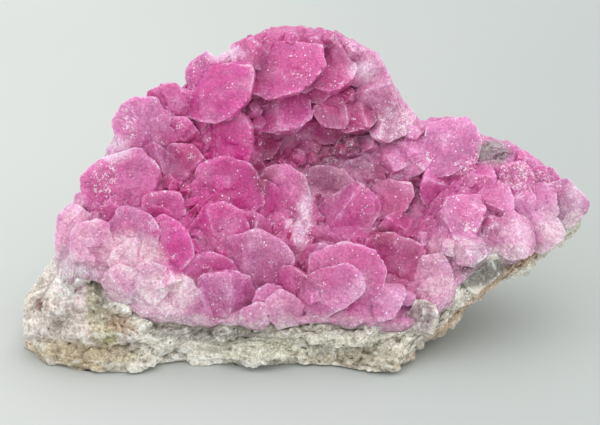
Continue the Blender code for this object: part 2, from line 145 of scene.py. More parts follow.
def layered_noise(points: Array, size: float, seed: float) -> Array:
    """Four layers of soft noise, each half as large and half as strong as the one before it.

    Args:
        points: Places in millimetres.
        size: The cell of the first layer.
        seed: Picks another pattern.

    Returns:
        One value for each point, about -1 to 1.
    """
    total = np.zeros(points.shape[:-1])
    for layer in range(4):
        total += 0.5**layer * soft_noise(points, size * 0.5**layer, seed + 7.3 * layer)
    return total / 1.6


def chipped(points: Array, size: float, seed: float) -> Array:
    """Flat chips: each point takes the plane of its nearest scattered seed, tilted at random.

    Args:
        points: Places in millimetres.
        size: How far apart the seeds are.
        seed: Picks another pattern.

    Returns:
        The height of the chip at each point, about -1 to 1.
    """
    scaled = points / size
    cell = np.floor(scaled)
    best = np.full(points.shape[:-1], np.inf)
    height = np.zeros(points.shape[:-1])
    for corner in itertools.product((-1.0, 0.0, 1.0), repeat=3):
        near = cell + np.array(corner)
        spots = [scattered(near, seed + part) for part in range(7)]
        away = scaled - near - np.stack(spots[:3], axis=-1)
        distance = (away**2).sum(-1)
        slope = 2.0 * np.stack(spots[3:6], axis=-1) - 1.0
        plane = CHIP_TILT * (away * slope).sum(-1) + CHIP_LEVEL * (spots[6] - 0.5)
        closer = distance < best
        best = np.where(closer, distance, best)
        height = np.where(closer, plane, height)
    return np.clip(height, -1.0, 1.0)


def unit(vectors: Array) -> Array:
    """The vectors, each divided by its length."""
    return vectors / np.maximum(np.linalg.norm(vectors, axis=-1, keepdims=True), 1e-9)


def blended(colour: Array, share: Array, other: Array | Colour) -> Array:
    """Colours with a share of another colour in them.

    Args:
        colour: A colour for each point.
        share: How much of the other colour each point takes.
        other: The other colour, one for all or one for each point.

    Returns:
        A colour for each point.
    """
    share = share[:, None]
    return colour * (1.0 - share) + np.array(other) * share


def softly_limited(beyond: Array, room: float) -> Array:
    """Distances past a line, drawn in to less than the room: room (1 - exp(-beyond / room))."""
    return room * (1.0 - np.exp(-beyond / room))


class Pattern(NamedTuple):
    """A pattern of noise: how strong it is, how large its features are, and its seed."""

    strength: float
    size: float
    seed: float

    def soft(self, points: Array) -> Array:
        """The pattern as soft noise."""
        return self.strength * soft_noise(points, self.size, self.seed)

    def layered(self, points: Array) -> Array:
        """The pattern as layered noise."""
        return self.strength * layered_noise(points, self.size, self.seed)

    def chips(self, points: Array) -> Array:
        """The pattern as flat chips."""
        return self.strength * chipped(points, self.size, self.seed)


def grid_faces(rows: int, columns: int) -> Array:
    """Two triangles for each cell of a grid whose columns close into a ring.

    Args:
        rows: Rows of points.
        columns: Points in each ring.

    Returns:
        Corner numbers, three to a face.
    """
    row, column = np.meshgrid(np.arange(rows - 1), np.arange(columns), indexing="ij")
    after = (column + 1) % columns
    a, b = row * columns + column, row * columns + after
    c, d = (row + 1) * columns + after, (row + 1) * columns + column
    return np.concatenate([np.stack([a, b, c], -1), np.stack([a, c, d], -1)]).reshape(-1, 3)


def closed_rings(rings: Array) -> tuple[Array, Array]:
    """Closes rings of points into one skin, with a fan across each end.

    Args:
        rings: Points as (rows, columns, 3).

    Returns:
        The points and the faces, turned to face outwards.
    """
    rows, columns = rings.shape[:2]
    points = np.concatenate([rings.reshape(-1, 3), rings[[0, -1]].mean(axis=1)])
    column = np.arange(columns)
    after = (column + 1) % columns
    start, end = rows * columns, rows * columns + 1
    first = np.stack([np.full(columns, start), after, column], -1)
    edge = (rows - 1) * columns
    last = np.stack([np.full(columns, end), edge + column, edge + after], -1)
    faces = np.concatenate([grid_faces(rows, columns), first, last])
    corners = points[faces]
    volume = np.einsum("ij,ij->i", corners[:, 0], np.cross(corners[:, 1], corners[:, 2])).sum()
    return points, faces if volume > 0 else faces[:, ::-1]


def put_points(mesh: bpy.types.Mesh, points: Array) -> None:
    """Moves a mesh's points to places in millimetres."""
    mesh.vertices.foreach_set("co", (points * MM).astype(np.float32).ravel())


def mesh_object(name: str, points: Array, faces: Array) -> bpy.types.Object:
    """A Blender object in metres from points in millimetres and triangles.

    Args:
        name: The object's name.
        points: The points, three numbers to a row.
        faces: The triangles' corners.

    Returns:
        The new object, linked to the scene.
    """
    mesh = bpy.data.meshes.new(name)
    mesh.vertices.add(len(points))
    put_points(mesh, points)
    mesh.loops.add(faces.size)
    mesh.loops.foreach_set("vertex_index", faces.astype(np.int32).ravel())
    mesh.polygons.add(len(faces))
    mesh.polygons.foreach_set("loop_start", np.arange(0, faces.size, 3, dtype=np.int32))
    mesh.update(calc_edges=True)
    obj = bpy.data.objects.new(name, mesh)
    bpy.context.scene.collection.objects.link(obj)
    return obj


def points_of(mesh: bpy.types.Mesh) -> Array:
    """The mesh's points in millimetres, three numbers to a row."""
    flat = np.empty(len(mesh.vertices) * 3, np.float32)
    mesh.vertices.foreach_get("co", flat)
    return flat.reshape(-1, 3).astype(float) / MM


def store(mesh: bpy.types.Mesh, name: str, values: Array) -> None:
    """Keeps a number or a colour for every point of a mesh.

    Args:
        mesh: The mesh that gets it.
        name: The attribute's name, which its material reads.
        values: One number, or red, green and blue, to a point.
    """
    if values.ndim == 1:
        attribute = mesh.attributes.new(name, "FLOAT", "POINT")
        attribute.data.foreach_set("value", values.astype(np.float32))
        return
    attribute = mesh.attributes.new(name, "FLOAT_COLOR", "POINT")
    full = np.concatenate([values, np.ones((len(values), 1))], axis=1)
    attribute.data.foreach_set("color", full.astype(np.float32).ravel())


def edginess(mesh: bpy.types.Mesh) -> Array:
    """How far each point stands above its neighbours, as the mean sine of the slopes down to them.

    The result is evened out once: 0.4 of a point's own value and 0.6 of its neighbours' mean.

    Args:
        mesh: The mesh.

    Returns:
        One number for each point, above 0 on edges and below 0 in crevices.
    """
    pairs = np.empty(len(mesh.edges) * 2, np.int32)
    mesh.edges.foreach_get("vertices", pairs)
    flat = np.empty(len(mesh.vertices) * 3, np.float32)
    mesh.vertices.foreach_get("normal", flat)
    points, normal = points_of(mesh), flat.reshape(-1, 3).astype(float)
    start, end = np.concatenate([pairs.reshape(-1, 2), pairs.reshape(-1, 2)[:, ::-1]]).T
    slope = -(unit(points[end] - points[start]) * normal[start]).sum(-1)
    count = np.maximum(np.bincount(start, minlength=len(points)), 1)
    found = np.bincount(start, slope, minlength=len(points)) / count
    return 0.4 * found + 0.6 * np.bincount(start, found[end], minlength=len(points)) / count


def joined(
    base: bpy.types.Object, others: list[bpy.types.Object], cutter: Optional[bpy.types.Object]
) -> bpy.types.Object:
    """Joins closed shells to a base as one solid, cuts it, and removes what it was made from.

    Args:
        base: The shell that the result takes its name from.
        others: The shells joined to it.
        cutter: A shell cut from the result, or None.

    Returns:
        The base, with the joined mesh.
    """
    group = bpy.data.collections.new(base.name + "_parts")
    bpy.context.scene.collection.children.link(group)
    for other in others:
        bpy.context.scene.collection.objects.unlink(other)
        group.objects.link(other)
    union = base.modifiers.new("union", "BOOLEAN")
    union.operation, union.solver = "UNION", "MANIFOLD"
    union.operand_type, union.collection = "COLLECTION", group
    if cutter is not None:
        cut = base.modifiers.new("cut", "BOOLEAN")
        cut.operation, cut.solver, cut.object = "DIFFERENCE", "MANIFOLD", cutter
    bpy.context.view_layer.update()
    graph = bpy.context.evaluated_depsgraph_get()
    mesh = bpy.data.meshes.new_from_object(base.evaluated_get(graph))
    base.modifiers.clear()
    base.data = mesh
    for other in others + ([cutter] if cutter is not None else []):
        bpy.data.objects.remove(other)
    bpy.data.collections.remove(group)
    return base


def dressed(
    piece: bpy.types.Object, material: bpy.types.Material, keen: float
) -> bpy.types.Object:
    """Gives a piece its one material and smooth shading between its keen edges.

    Args:
        piece: The piece.
        material: Its material.
        keen: The least angle of a keen edge, in degrees.

    Returns:
        The piece.
    """
    piece.data.shade_smooth()
    piece.data.set_sharp_from_angle(angle=math.radians(keen))
    piece.data.materials.clear()
    piece.data.materials.append(material)
    return piece


@dataclass(frozen=True)
class FacePlane:
    """The leaning plane that the crystals are laid out on.

    Attributes:
        lean: How far it leans back from the vertical, in radians.
        origin_back: How far behind the front foot the origin is.
    """

    lean: float = math.radians(25.0)
    origin_back: float = 11.0

    @property
    def upward(self) -> Array:
        """The direction up the plane."""
        return np.array([0.0, math.sin(self.lean), math.cos(self.lean)])

    @property
    def outward(self) -> Array:
        """The direction square to the plane, away from the rock."""
        return np.array([0.0, -math.cos(self.lean), math.sin(self.lean)])

    def height(self, up: Array, back: Array) -> Array:
        """Z from the distance up the plane and the distance back: (up - back sin) / cos."""
        return (up - back * math.sin(self.lean)) / math.cos(self.lean)

    def placed(self, across: Array, back: Array, z: Array) -> Array:
        """Points from across, back and Z."""
        across, back, z = np.broadcast_arrays(across, back - self.origin_back, z)
        return np.stack([across, back, z], axis=-1)

    def flattened(self, points: Array) -> tuple[Array, Array]:
        """Across and up of points: their place as seen square to the plane."""
        up = points[..., 2] * math.cos(self.lean)
        return points[..., 0], up + (points[..., 1] + self.origin_back) * math.sin(self.lean)


PLANE = FacePlane()


class Patch(NamedTuple):
    """A soft-edged spot on the face plane: its middle, its reach each way, and how it is turned."""

    across: float
    up: float
    wide: float
    high: float
    amount: float = 1.0
    turn: float = 0.0

    def weight(self, points: Array, wander: Array | float) -> Array:
        """How much of the spot each point takes.

        Args:
            points: Places in millimetres.
            wander: Noise that roughens the spot's edge.

        Returns:
            From 0 outside to the spot's amount in its middle.
        """
        across, up = PLANE.flattened(points)
        x, y = across - self.across, up - self.up
        cos, sin = math.cos(math.radians(self.turn)), math.sin(math.radians(self.turn))
        reach = np.hypot((x * cos + y * sin) / self.wide, (y * cos - x * sin) / self.high)
        return self.amount * (1.0 - smooth_step(*SPOT_EDGE, reach + SPOT_WANDER * wander))

    def covers(self, across: float, up: float) -> bool:
        """Whether a place is within the spot, taken as not turned."""
        return math.hypot((across - self.across) / self.wide, (up - self.up) / self.high) < 1.0


def patches(*rows: tuple[float, ...]) -> tuple[Patch, ...]:
    """Rows of across, up, wide, high and, where they aren't 1 and 0, amount and turn, as patches."""
    return tuple(Patch(*row) for row in rows)


class Station(NamedTuple):
    """One cross-section of the rock: front foot, lip and rim of the growth face, and back heel."""

    across: float
    foot_back: float
    foot_z: float
    lip_back: float
    lip_up: float
    rim_back: float
    rim_up: float
    hollow: float
    heel_back: float
    heel_z: float


STATIONS = tuple(
    Station(*row)
    for row in (
        (-27.6, 5.0, 0.5, 5.2, 6.0, 7.5, 7.0, 1.0, 9.0, 0.5),
        (-25.0, 2.8, 0.0, 3.4, 7.6, 8.0, 10.2, 1.1, 15.0, 0.0),
        (-22.0, 0.4, 0.0, 2.0, 11.0, 9.5, 16.3, 1.1, 19.5, 0.0),
        (-19.0, 0.0, 0.0, 2.2, 9.5, 11.5, 20.5, 1.2, 21.0, 0.0),
        (-16.0, 0.2, 0.0, 1.8, 6.3, 13.5, 25.3, 1.25, 22.5, 0.0),
        (-12.0, 1.2, 0.7, 2.2, 5.5, 15.5, 26.8, 1.3, 23.5, 0.0),
        (-8.0, 1.5, 0.7, 2.3, 5.2, 18.0, 30.0, 1.6, 25.0, 0.0),
        (-4.0, 1.0, 0.4, 2.0, 5.0, 20.0, 32.2, 2.0, 26.0, 0.0),
        (0.0, 1.4, 0.6, 2.0, 5.2, 21.0, 32.9, 2.3, 26.5, 0.0),
        (4.0, 1.2, 0.4, 2.0, 5.3, 21.2, 32.4, 2.3, 26.5, 0.0),
        (8.0, 0.0, 0.0, 1.8, 4.8, 20.8, 29.6, 2.0, 25.5, 0.0),
        (10.0, 0.6, 0.2, 2.0, 4.6, 20.2, 26.0, 1.8, 24.5, 0.0),
        (12.0, 1.6, 1.8, 2.6, 5.2, 19.6, 23.8, 1.6, 23.0, 0.8),
        (15.0, 3.2, 4.6, 3.8, 7.6, 19.0, 24.0, 1.4, 21.0, 3.6),
        (18.0, 4.8, 6.6, 5.4, 10.6, 18.2, 22.3, 1.3, 19.5, 6.2),
        (21.0, 6.0, 7.9, 6.6, 11.4, 17.2, 21.6, 1.2, 18.5, 8.0),
        (24.0, 8.0, 9.6, 8.4, 12.6, 15.8, 19.8, 1.1, 17.0, 9.8),
        (27.0, 10.0, 11.0, 10.3, 14.6, 13.8, 17.6, 1.0, 14.5, 11.4),
        (28.1, 11.2, 11.6, 11.3, 15.4, 12.8, 17.0, 1.0, 13.2, 11.6),
    )
)


class Wave(NamedTuple):
    """A lump of the rock as a wave: its swing, its direction and pitch, and its start."""

    swing: float
    pitch: Triple
    start: float


@dataclass(frozen=True)
class RockForm:
    """The rock's large form, as rings of 21 points round its cross-section.

    Attributes:
        stations: The measured cross-sections.
        waves: The lumps that push the points about.
        ledge_depth: How far the level ledges stand in and out.
        ledge_pitch: How fast they follow on each other up Z and back along Y, in radians.
        ledge_roll: How far they rise and fall along X, and how fast, in radians.
        ledge_break: What breaks them up behind.
        sole_inset: How far in the sole's edges are, as a share of its depth.
        sole_drops: How far below the foot and the heel the sole's edges are.
        front_bulges: How far out the front stands, at shares of the way from its foot to its lip.
        back_bulges: The same for the back, from the crest to the heel.
    """

    stations: tuple[Station, ...] = STATIONS
    waves: tuple[Wave, ...] = (
        Wave(0.30, (0.50, 0.20, 0.35), 0.4),
        Wave(0.24, (-0.35, 0.75, 0.40), 2.2),
        Wave(0.17, (0.95, 0.45, -0.80), 4.1),
        Wave(0.12, (-1.30, 0.60, 1.10), 0.9),
    )
    ledge_depth: float = 0.4
    ledge_pitch: tuple[float, float] = (2.2, 0.3)
    ledge_roll: tuple[float, float] = (0.9, 0.37)
    ledge_break: Pattern = Pattern(3.0, 6.0, 19.0)
    sole_inset: float = 0.12
    sole_drops: tuple[float, float] = (1.2, 0.4)
    front_bulges: tuple[tuple[float, float], ...] = ((0.25, 0.3), (0.55, 0.25), (0.85, 0.1))
    back_bulges: tuple[tuple[float, float], ...] = ((0.22, 0.7), (0.45, 0.9), (0.7, 0.6))

    def section(self, across: Array) -> Array:
        """The stations' values at any places, on smooth curves with the slopes of their neighbours.

        Args:
            across: Places along the rock.

        Returns:
            A row of the station's ten values for each place.
        """
        table = np.array(self.stations)
        last = len(table) - 1
        after = np.clip(np.searchsorted(table[:, 0], across, side="right"), 1, last)
        first, second = table[after - 1], table[after]
        before, beyond = table[np.maximum(after - 2, 0)], table[np.minimum(after + 1, last)]
        span = second[:, :1] - first[:, :1]
        t = np.clip((across[:, None] - first[:, :1]) / span, 0.0, 1.0)
        slope_low = (second - before) / (second[:, :1] - before[:, :1])
        slope_high = (beyond - first) / (beyond[:, :1] - first[:, :1])
        bend = t * (1 - t) * span * ((1 - t) * slope_low - t * slope_high)
        values = first + (second - first) * t * t * (3 - 2 * t) + bend
        values[:, 0] = across
        return values

    def growth(self, section: Array, share: Array) -> Array:
        """Back and Z of the growth face at shares of the way from its lip to its rim.

        Args:
            section: Rows of station values.
            share: A share for each row, or several.

        Returns:
            Back and Z, with the shape of share and two more.
        """
        columns = [section[:, i] for i in (3, 4, 5, 6, 7)]
        if share.ndim == 2:
            columns = [values[:, None] for values in columns]
        lip_back, lip_up, rim_back, rim_up, hollow = columns
        eased = 1 - (1 - np.clip(share, 0.0, 1.0)) ** hollow
        back = lip_back + (rim_back - lip_back) * eased
        up = lip_up + (rim_up - lip_up) * share
        return np.stack([back, PLANE.height(up, back)], axis=-1)

    def growth_at(self, across: float, up: float) -> Array:
        """Back and Z of the growth face at one place, or at its lip or rim for one beyond it.

        Args:
            across: The place along the rock.
            up: The distance up the face plane.

        Returns:
            Back and Z.
        """
        row = self.section(np.array([across]))
        share = (up - row[:, 4]) / (row[:, 6] - row[:, 4])
        return self.growth(row, np.clip(share, 0.0, 1.0))[0]

    def outline(self, across: Array) -> tuple[Array, Array]:
        """The 21 points of each cross-section, from the sole round by the front, before the lumps.

        A section is smooth where it is 3 mm deep, and as rough as it gets from 13 mm.

        Args:
            across: Places along the rock.

        Returns:
            Points as (places, 21, 3), and how rough each is.
        """
        rows = self.section(across)
        share = np.broadcast_to(np.arange(9) / 8, (len(rows), 9))
        growth = self.growth(rows, share)
        foot, heel, lip, rim = rows[:, 1:3], rows[:, 8:10], growth[:, 0], growth[:, 8]
        room = heel[:, 0] - foot[:, 0]
        rough = np.clip(0.1 * room - 0.3, 0.0, 1.0)
        inset, (front_drop, back_drop) = self.sole_inset * room, self.sole_drops
        front = np.stack([foot[:, 0] + inset, np.maximum(0.0, foot[:, 1] - front_drop)], axis=-1)
        behind = np.stack([heel[:, 0] - inset, np.maximum(0.0, heel[:, 1] - back_drop)], axis=-1)
        crest = np.stack([rim[:, 0] + np.minimum(1.5, 0.2 * room), rim[:, 1] - 0.3], axis=-1)
        points = [behind, (behind + front) / 2, front, foot]
        amounts = [rough] * 4
        for part, bulge in self.front_bulges:
            out = np.stack([-bulge * rough, 0 * rough], axis=-1)
            points.append(foot + (lip - foot) * part + out)
            amounts.append(1.2 * rough)
        points += [growth[:, index] for index in range(9)] + [crest]
        amounts += [0.5 * rough] * 10
        for part, bulge in self.back_bulges:
            out = np.stack([bulge * rough, 0 * rough], axis=-1)
            points.append(crest + (heel - crest) * part + out)
            amounts.append(rough)
        points.append(heel)
        amounts.append(rough)
        flat = np.stack(points, axis=1)
        return PLANE.placed(across[:, None], flat[..., 0], flat[..., 1]), np.stack(amounts, 1)

    def lumped(self, points: Array, amount: Array) -> Array:
        """Pushes points by a sum of sine waves and by ledges that follow Z; the sole stays flat.

        Each wave pushes along X, Y and Z at three starts a third of a turn apart, and the ledges are
        broken up from Y = 0 to Y = 8, where the back begins.

        Args:
            points: Places in millimetres.
            amount: How strongly each is pushed.

        Returns:
            The pushed points.
        """
        push = np.zeros_like(points)
        for wave in self.waves:
            turn = points @ np.array(wave.pitch) + wave.start
            push += wave.swing * np.stack([np.sin(turn + start) for start in (0.0, 2.1, 4.2)], -1)
        x, y, z = points[..., 0], points[..., 1], points[..., 2]
        roll, speed = self.ledge_roll
        ledge = self.ledge_pitch[0] * z + roll * np.sin(speed * x) + self.ledge_pitch[1] * y
        ledge = ledge + smooth_step(0.0, 8.0, y) * self.ledge_break.soft(points)
        push[..., 1] += self.ledge_depth * np.sin(ledge)
        moved = points + push * amount[..., None]
        moved[..., 2] = np.maximum(moved[..., 2], 0.0)
        flat = points[..., 2:] <= 0.0
        return np.where(flat, points * np.array([1.0, 1.0, 0.0]), moved)

    def rings(self, across: Array, turn: Optional[Array] = None) -> Array:
        """The rock's skin as rings: the outline's points on Catmull-Rom curves, then lumped.

        Args:
            across: Places along the rock.
            turn: Places round the section, as point numbers, or None for the 21 points.

        Returns:
            Points as (places, turns, 3).
        """
        points, amount = self.outline(across)
        if turn is None:
            return self.lumped(points, amount)
        values = np.concatenate([points, amount[..., None]], axis=-1)
        count = values.shape[1]
        base = np.floor(turn).astype(int)
        t = (turn - base)[None, :, None]
        p0, p1, p2, p3 = (values[:, (base + step) % count] for step in (-1, 0, 1, 2))
        curve = 0.5 * (
            2 * p1 + (p2 - p0) * t + (2 * p0 - 5 * p1 + 4 * p2 - p3) * t**2
            + (3 * p1 - p0 - 3 * p2 + p3) * t**3
        )
        curve[..., 2] = np.maximum(curve[..., 2], 0.0)
        return self.lumped(curve[..., :3], np.maximum(curve[..., 3], 0.0))


# The upper face behind and the pointed root that three of the forms share
BEHIND = (52, (270,), 2.5, 0.82, 1.0)
POINTED = (-46, (20, 160, 270), 3.0, 1.15, 2.0)


class Form(Enum):
    """The forms of crystal, as rings of faces: (rise, azimuths, fullness, closeness, bulge).

    The rise is from the crystal's waist towards its tip, and azimuth 90 is its broad front. The
    bulge is the radius of the ball that the face is part of, in lengths of the crystal.
    """

    LEAF = (
        (6, (90,), 2.0, 0.70, 2.2),
        (6, (-24, 204), 2.0, 0.87, 2.2),
        (40, (-50, 230), 2.2, 0.80, 2.0),
        BEHIND,
        (-10, (270,), 2.0, 0.8, 2.0),
        POINTED,
    )
    SHIELD = (
        (17, (90,), 2.0, 0.74, 1.9),
        (2, (-24, 204), 2.0, 0.86, 1.5),
        (28, (-44, 224), 2.0, 0.80, 1.6),
        (50, (-74, 254), 2.0, 0.74, 1.6),
        (-10, (270,), 2.0, 0.8, 2.0),
        (-50, (30, 150, 270), 4.0, 1.0, 2.0),
    )
    TWIN = (
        (10, (66,), 2.0, 0.76, 2.8),
        (4, (132,), 2.0, 0.86, 2.4),
        (6, (-26, 208), 2.0, 0.87, 3.4),
        (38, (-50, 232), 2.3, 0.78, 3.0),
        BEHIND,
        POINTED,
    )
    TURNED = (
        (10, (114,), 2.0, 0.76, 2.8),
        (4, (48,), 2.0, 0.86, 2.4),
        (6, (-28, 206), 2.0, 0.87, 3.4),
        (38, (-52, 230), 2.3, 0.78, 3.0),
        BEHIND,
        POINTED,
    )
    RHOMB = (
        (20, (88,), 3.0, 0.80, 3.4),
        (0, (60, 140), 2.0, 1.0, 3.0),
        (8, (-30, 210), 2.6, 0.90, 2.6),
        (42, (-54, 234), 3.2, 0.82, 2.6),
        (-10, (270,), 2.0, 0.9, 2.0),
        (-50, (30, 150, 270), 4.0, 1.0, 2.5),
    )
    CORNER = (
        (40, (90, 210, 330), 2.0, 0.84, 4.4),
        (-8, (30, 150, 270), 2.0, 0.90, 3.4),
        (-50, (90, 210, 330), 3.0, 1.0, 2.0),
    )
    WEDGE = (
        (30, (60, 140), 2.0, 0.78, 4.8),
        (34, (240, 310), 2.0, 0.90, 4.0),
        (-6, (0, 90, 180, 270), 2.2, 0.92, 3.6),
        (-50, (30, 150, 270), 3.0, 1.0, 2.0),
    )
    BLOCK = (
        (6, (35, 90, 150, 215, 270, 325), 1.8, 0.94, 8.0),
        (58, (90, 250), 1.6, 0.9, 8.0),
        (-58, (100, 280), 1.6, 0.9, 8.0),
    )


class Tone(Enum):
    """The body colours of the calcite, as display colours."""

    MAGENTA = (206, 60, 148)
    BRIGHT = (212, 78, 154)
    ROSE = (207, 98, 159)
    PLUM = (182, 64, 124)
    DUSTY = (194, 114, 157)
    PINK = (214, 130, 178)
    LILAC = (214, 150, 188)
    PALE = (228, 176, 198)
    WHITE = (236, 208, 216)
    MAUVE = (168, 116, 144)


# How far a face is turned at the most, in degrees, and how much closer it is set, as a share
FACE_TURN = 8.0
FACE_CLOSER = 0.09


class Crystal(NamedTuple):
    """One crystal: its middle on the face plane, its size, where its tip points, and its looks."""

    across: float
    up: float
    length: float
    width: float
    aim: float
    toward: float
    proud: float
    flat: float = 0.85
    roll: float = 0.0
    form: Form = Form.LEAF
    tone: Tone = Tone.ROSE
    frost: float = 0.3

    def faces(self) -> Array:
        """The crystal's faces, all about an ogive and each turned a little by where it stands.

        Sines of the crystal's place turn a face, set it closer and change its ball, mostly to a
        larger one. The first face, the broad front, keeps its form's ball.

        Returns:
            A row for each face: its direction, its distance and the radius of its ball.
        """
        found = []
        half, side = self.length / 2, self.width / 2
        for rise, azimuths, fullness, closeness, bulge in self.form.value:
            tilt = math.radians(rise)
            flat, steep = math.cos(tilt), math.sin(tilt)
            reach = (side * flat) ** fullness + (half * abs(steep)) ** fullness
            distance = closeness * reach ** (1 / fullness)
            for azimuth in azimuths:
                chance = math.sin(3.1 * self.across + 5.7 * self.up + 2.3 * len(found))
                turn = math.radians(azimuth + FACE_TURN * chance)
                ease = 1.25 + 0.4 * math.sin(9.1 * chance + self.across) if found else 1.0
                way = (math.cos(turn) * flat, math.sin(turn) * flat, steep)
                closer = 1 - FACE_CLOSER * chance**2
                found.append((*way, distance * closer, ease * bulge * self.length))
        return np.array(found)

    def lots(self, seed: float) -> Array:
        """A number from 0 to 1 for each face, by where the crystal stands.

        Args:
            seed: Picks another set of numbers.

        Returns:
            One number for each face.
        """
        number = np.arange(len(self.faces()))
        place = np.stack([0 * number + self.across, 0 * number + self.up, number], axis=-1)
        return scattered(place, seed)

    def reach(self, ways: Array) -> Array:
        """How far each face lies from the crystal's middle along each direction.

        A face is part of a ball of radius R that touches its plane, which has direction n and
        distance h. With c = (h - R) n . d, its reach along d is c + sqrt(c^2 + R^2 - (h - R)^2).

        Args:
            ways: Directions of unit length, three numbers to a row.

        Returns:
            The reach of every face along every direction.
        """
        faces = self.faces()
        far, ball = faces[:, 3], faces[:, 4]
        centre = (far - ball) * (ways @ faces[:, :3].T)
        return centre + np.sqrt(centre**2 + ball**2 - (far - ball) ** 2)

    def pose(self, rock: RockForm) -> tuple[Array, Array]:
        """Where the crystal stands.

        Args:
            rock: The form of the rock beneath it.

        Returns:
            A 3 by 3 matrix from the crystal's own axes, and its middle.
        """
        back = rock.growth_at(self.across, self.up)[0]
        middle = PLANE.placed(self.across, back, PLANE.height(self.up, back))
        middle = middle + PLANE.outward * self.proud
        aim, toward = math.radians(self.aim), math.radians(self.toward)
        in_plane = np.array([math.cos(aim), 0.0, 0.0]) + PLANE.upward * math.sin(aim)
        axis = in_plane * math.cos(toward) + PLANE.outward * math.sin(toward)
        thin = unit(PLANE.outward * math.cos(toward) - in_plane * math.sin(toward))
        wide = unit(np.cross(thin, axis))
        roll = math.radians(self.roll)
        cos, sin = math.cos(roll), math.sin(roll)
        turned = np.array([[cos, -sin, 0.0], [sin, cos, 0.0], [0.0, 0.0, 1.0]])
        squeeze = np.diag([1.0, self.flat, 1.0])
        return np.stack([wide, thin, axis], axis=1) @ squeeze @ turned, middle


LEAF, SHIELD, TWIN, TURNED, RHOMB, CORNER, WEDGE, BLOCK = Form
MAGENTA, BRIGHT, ROSE, PLUM, DUSTY, PINK, LILAC, PALE, WHITE, MAUVE = Tone

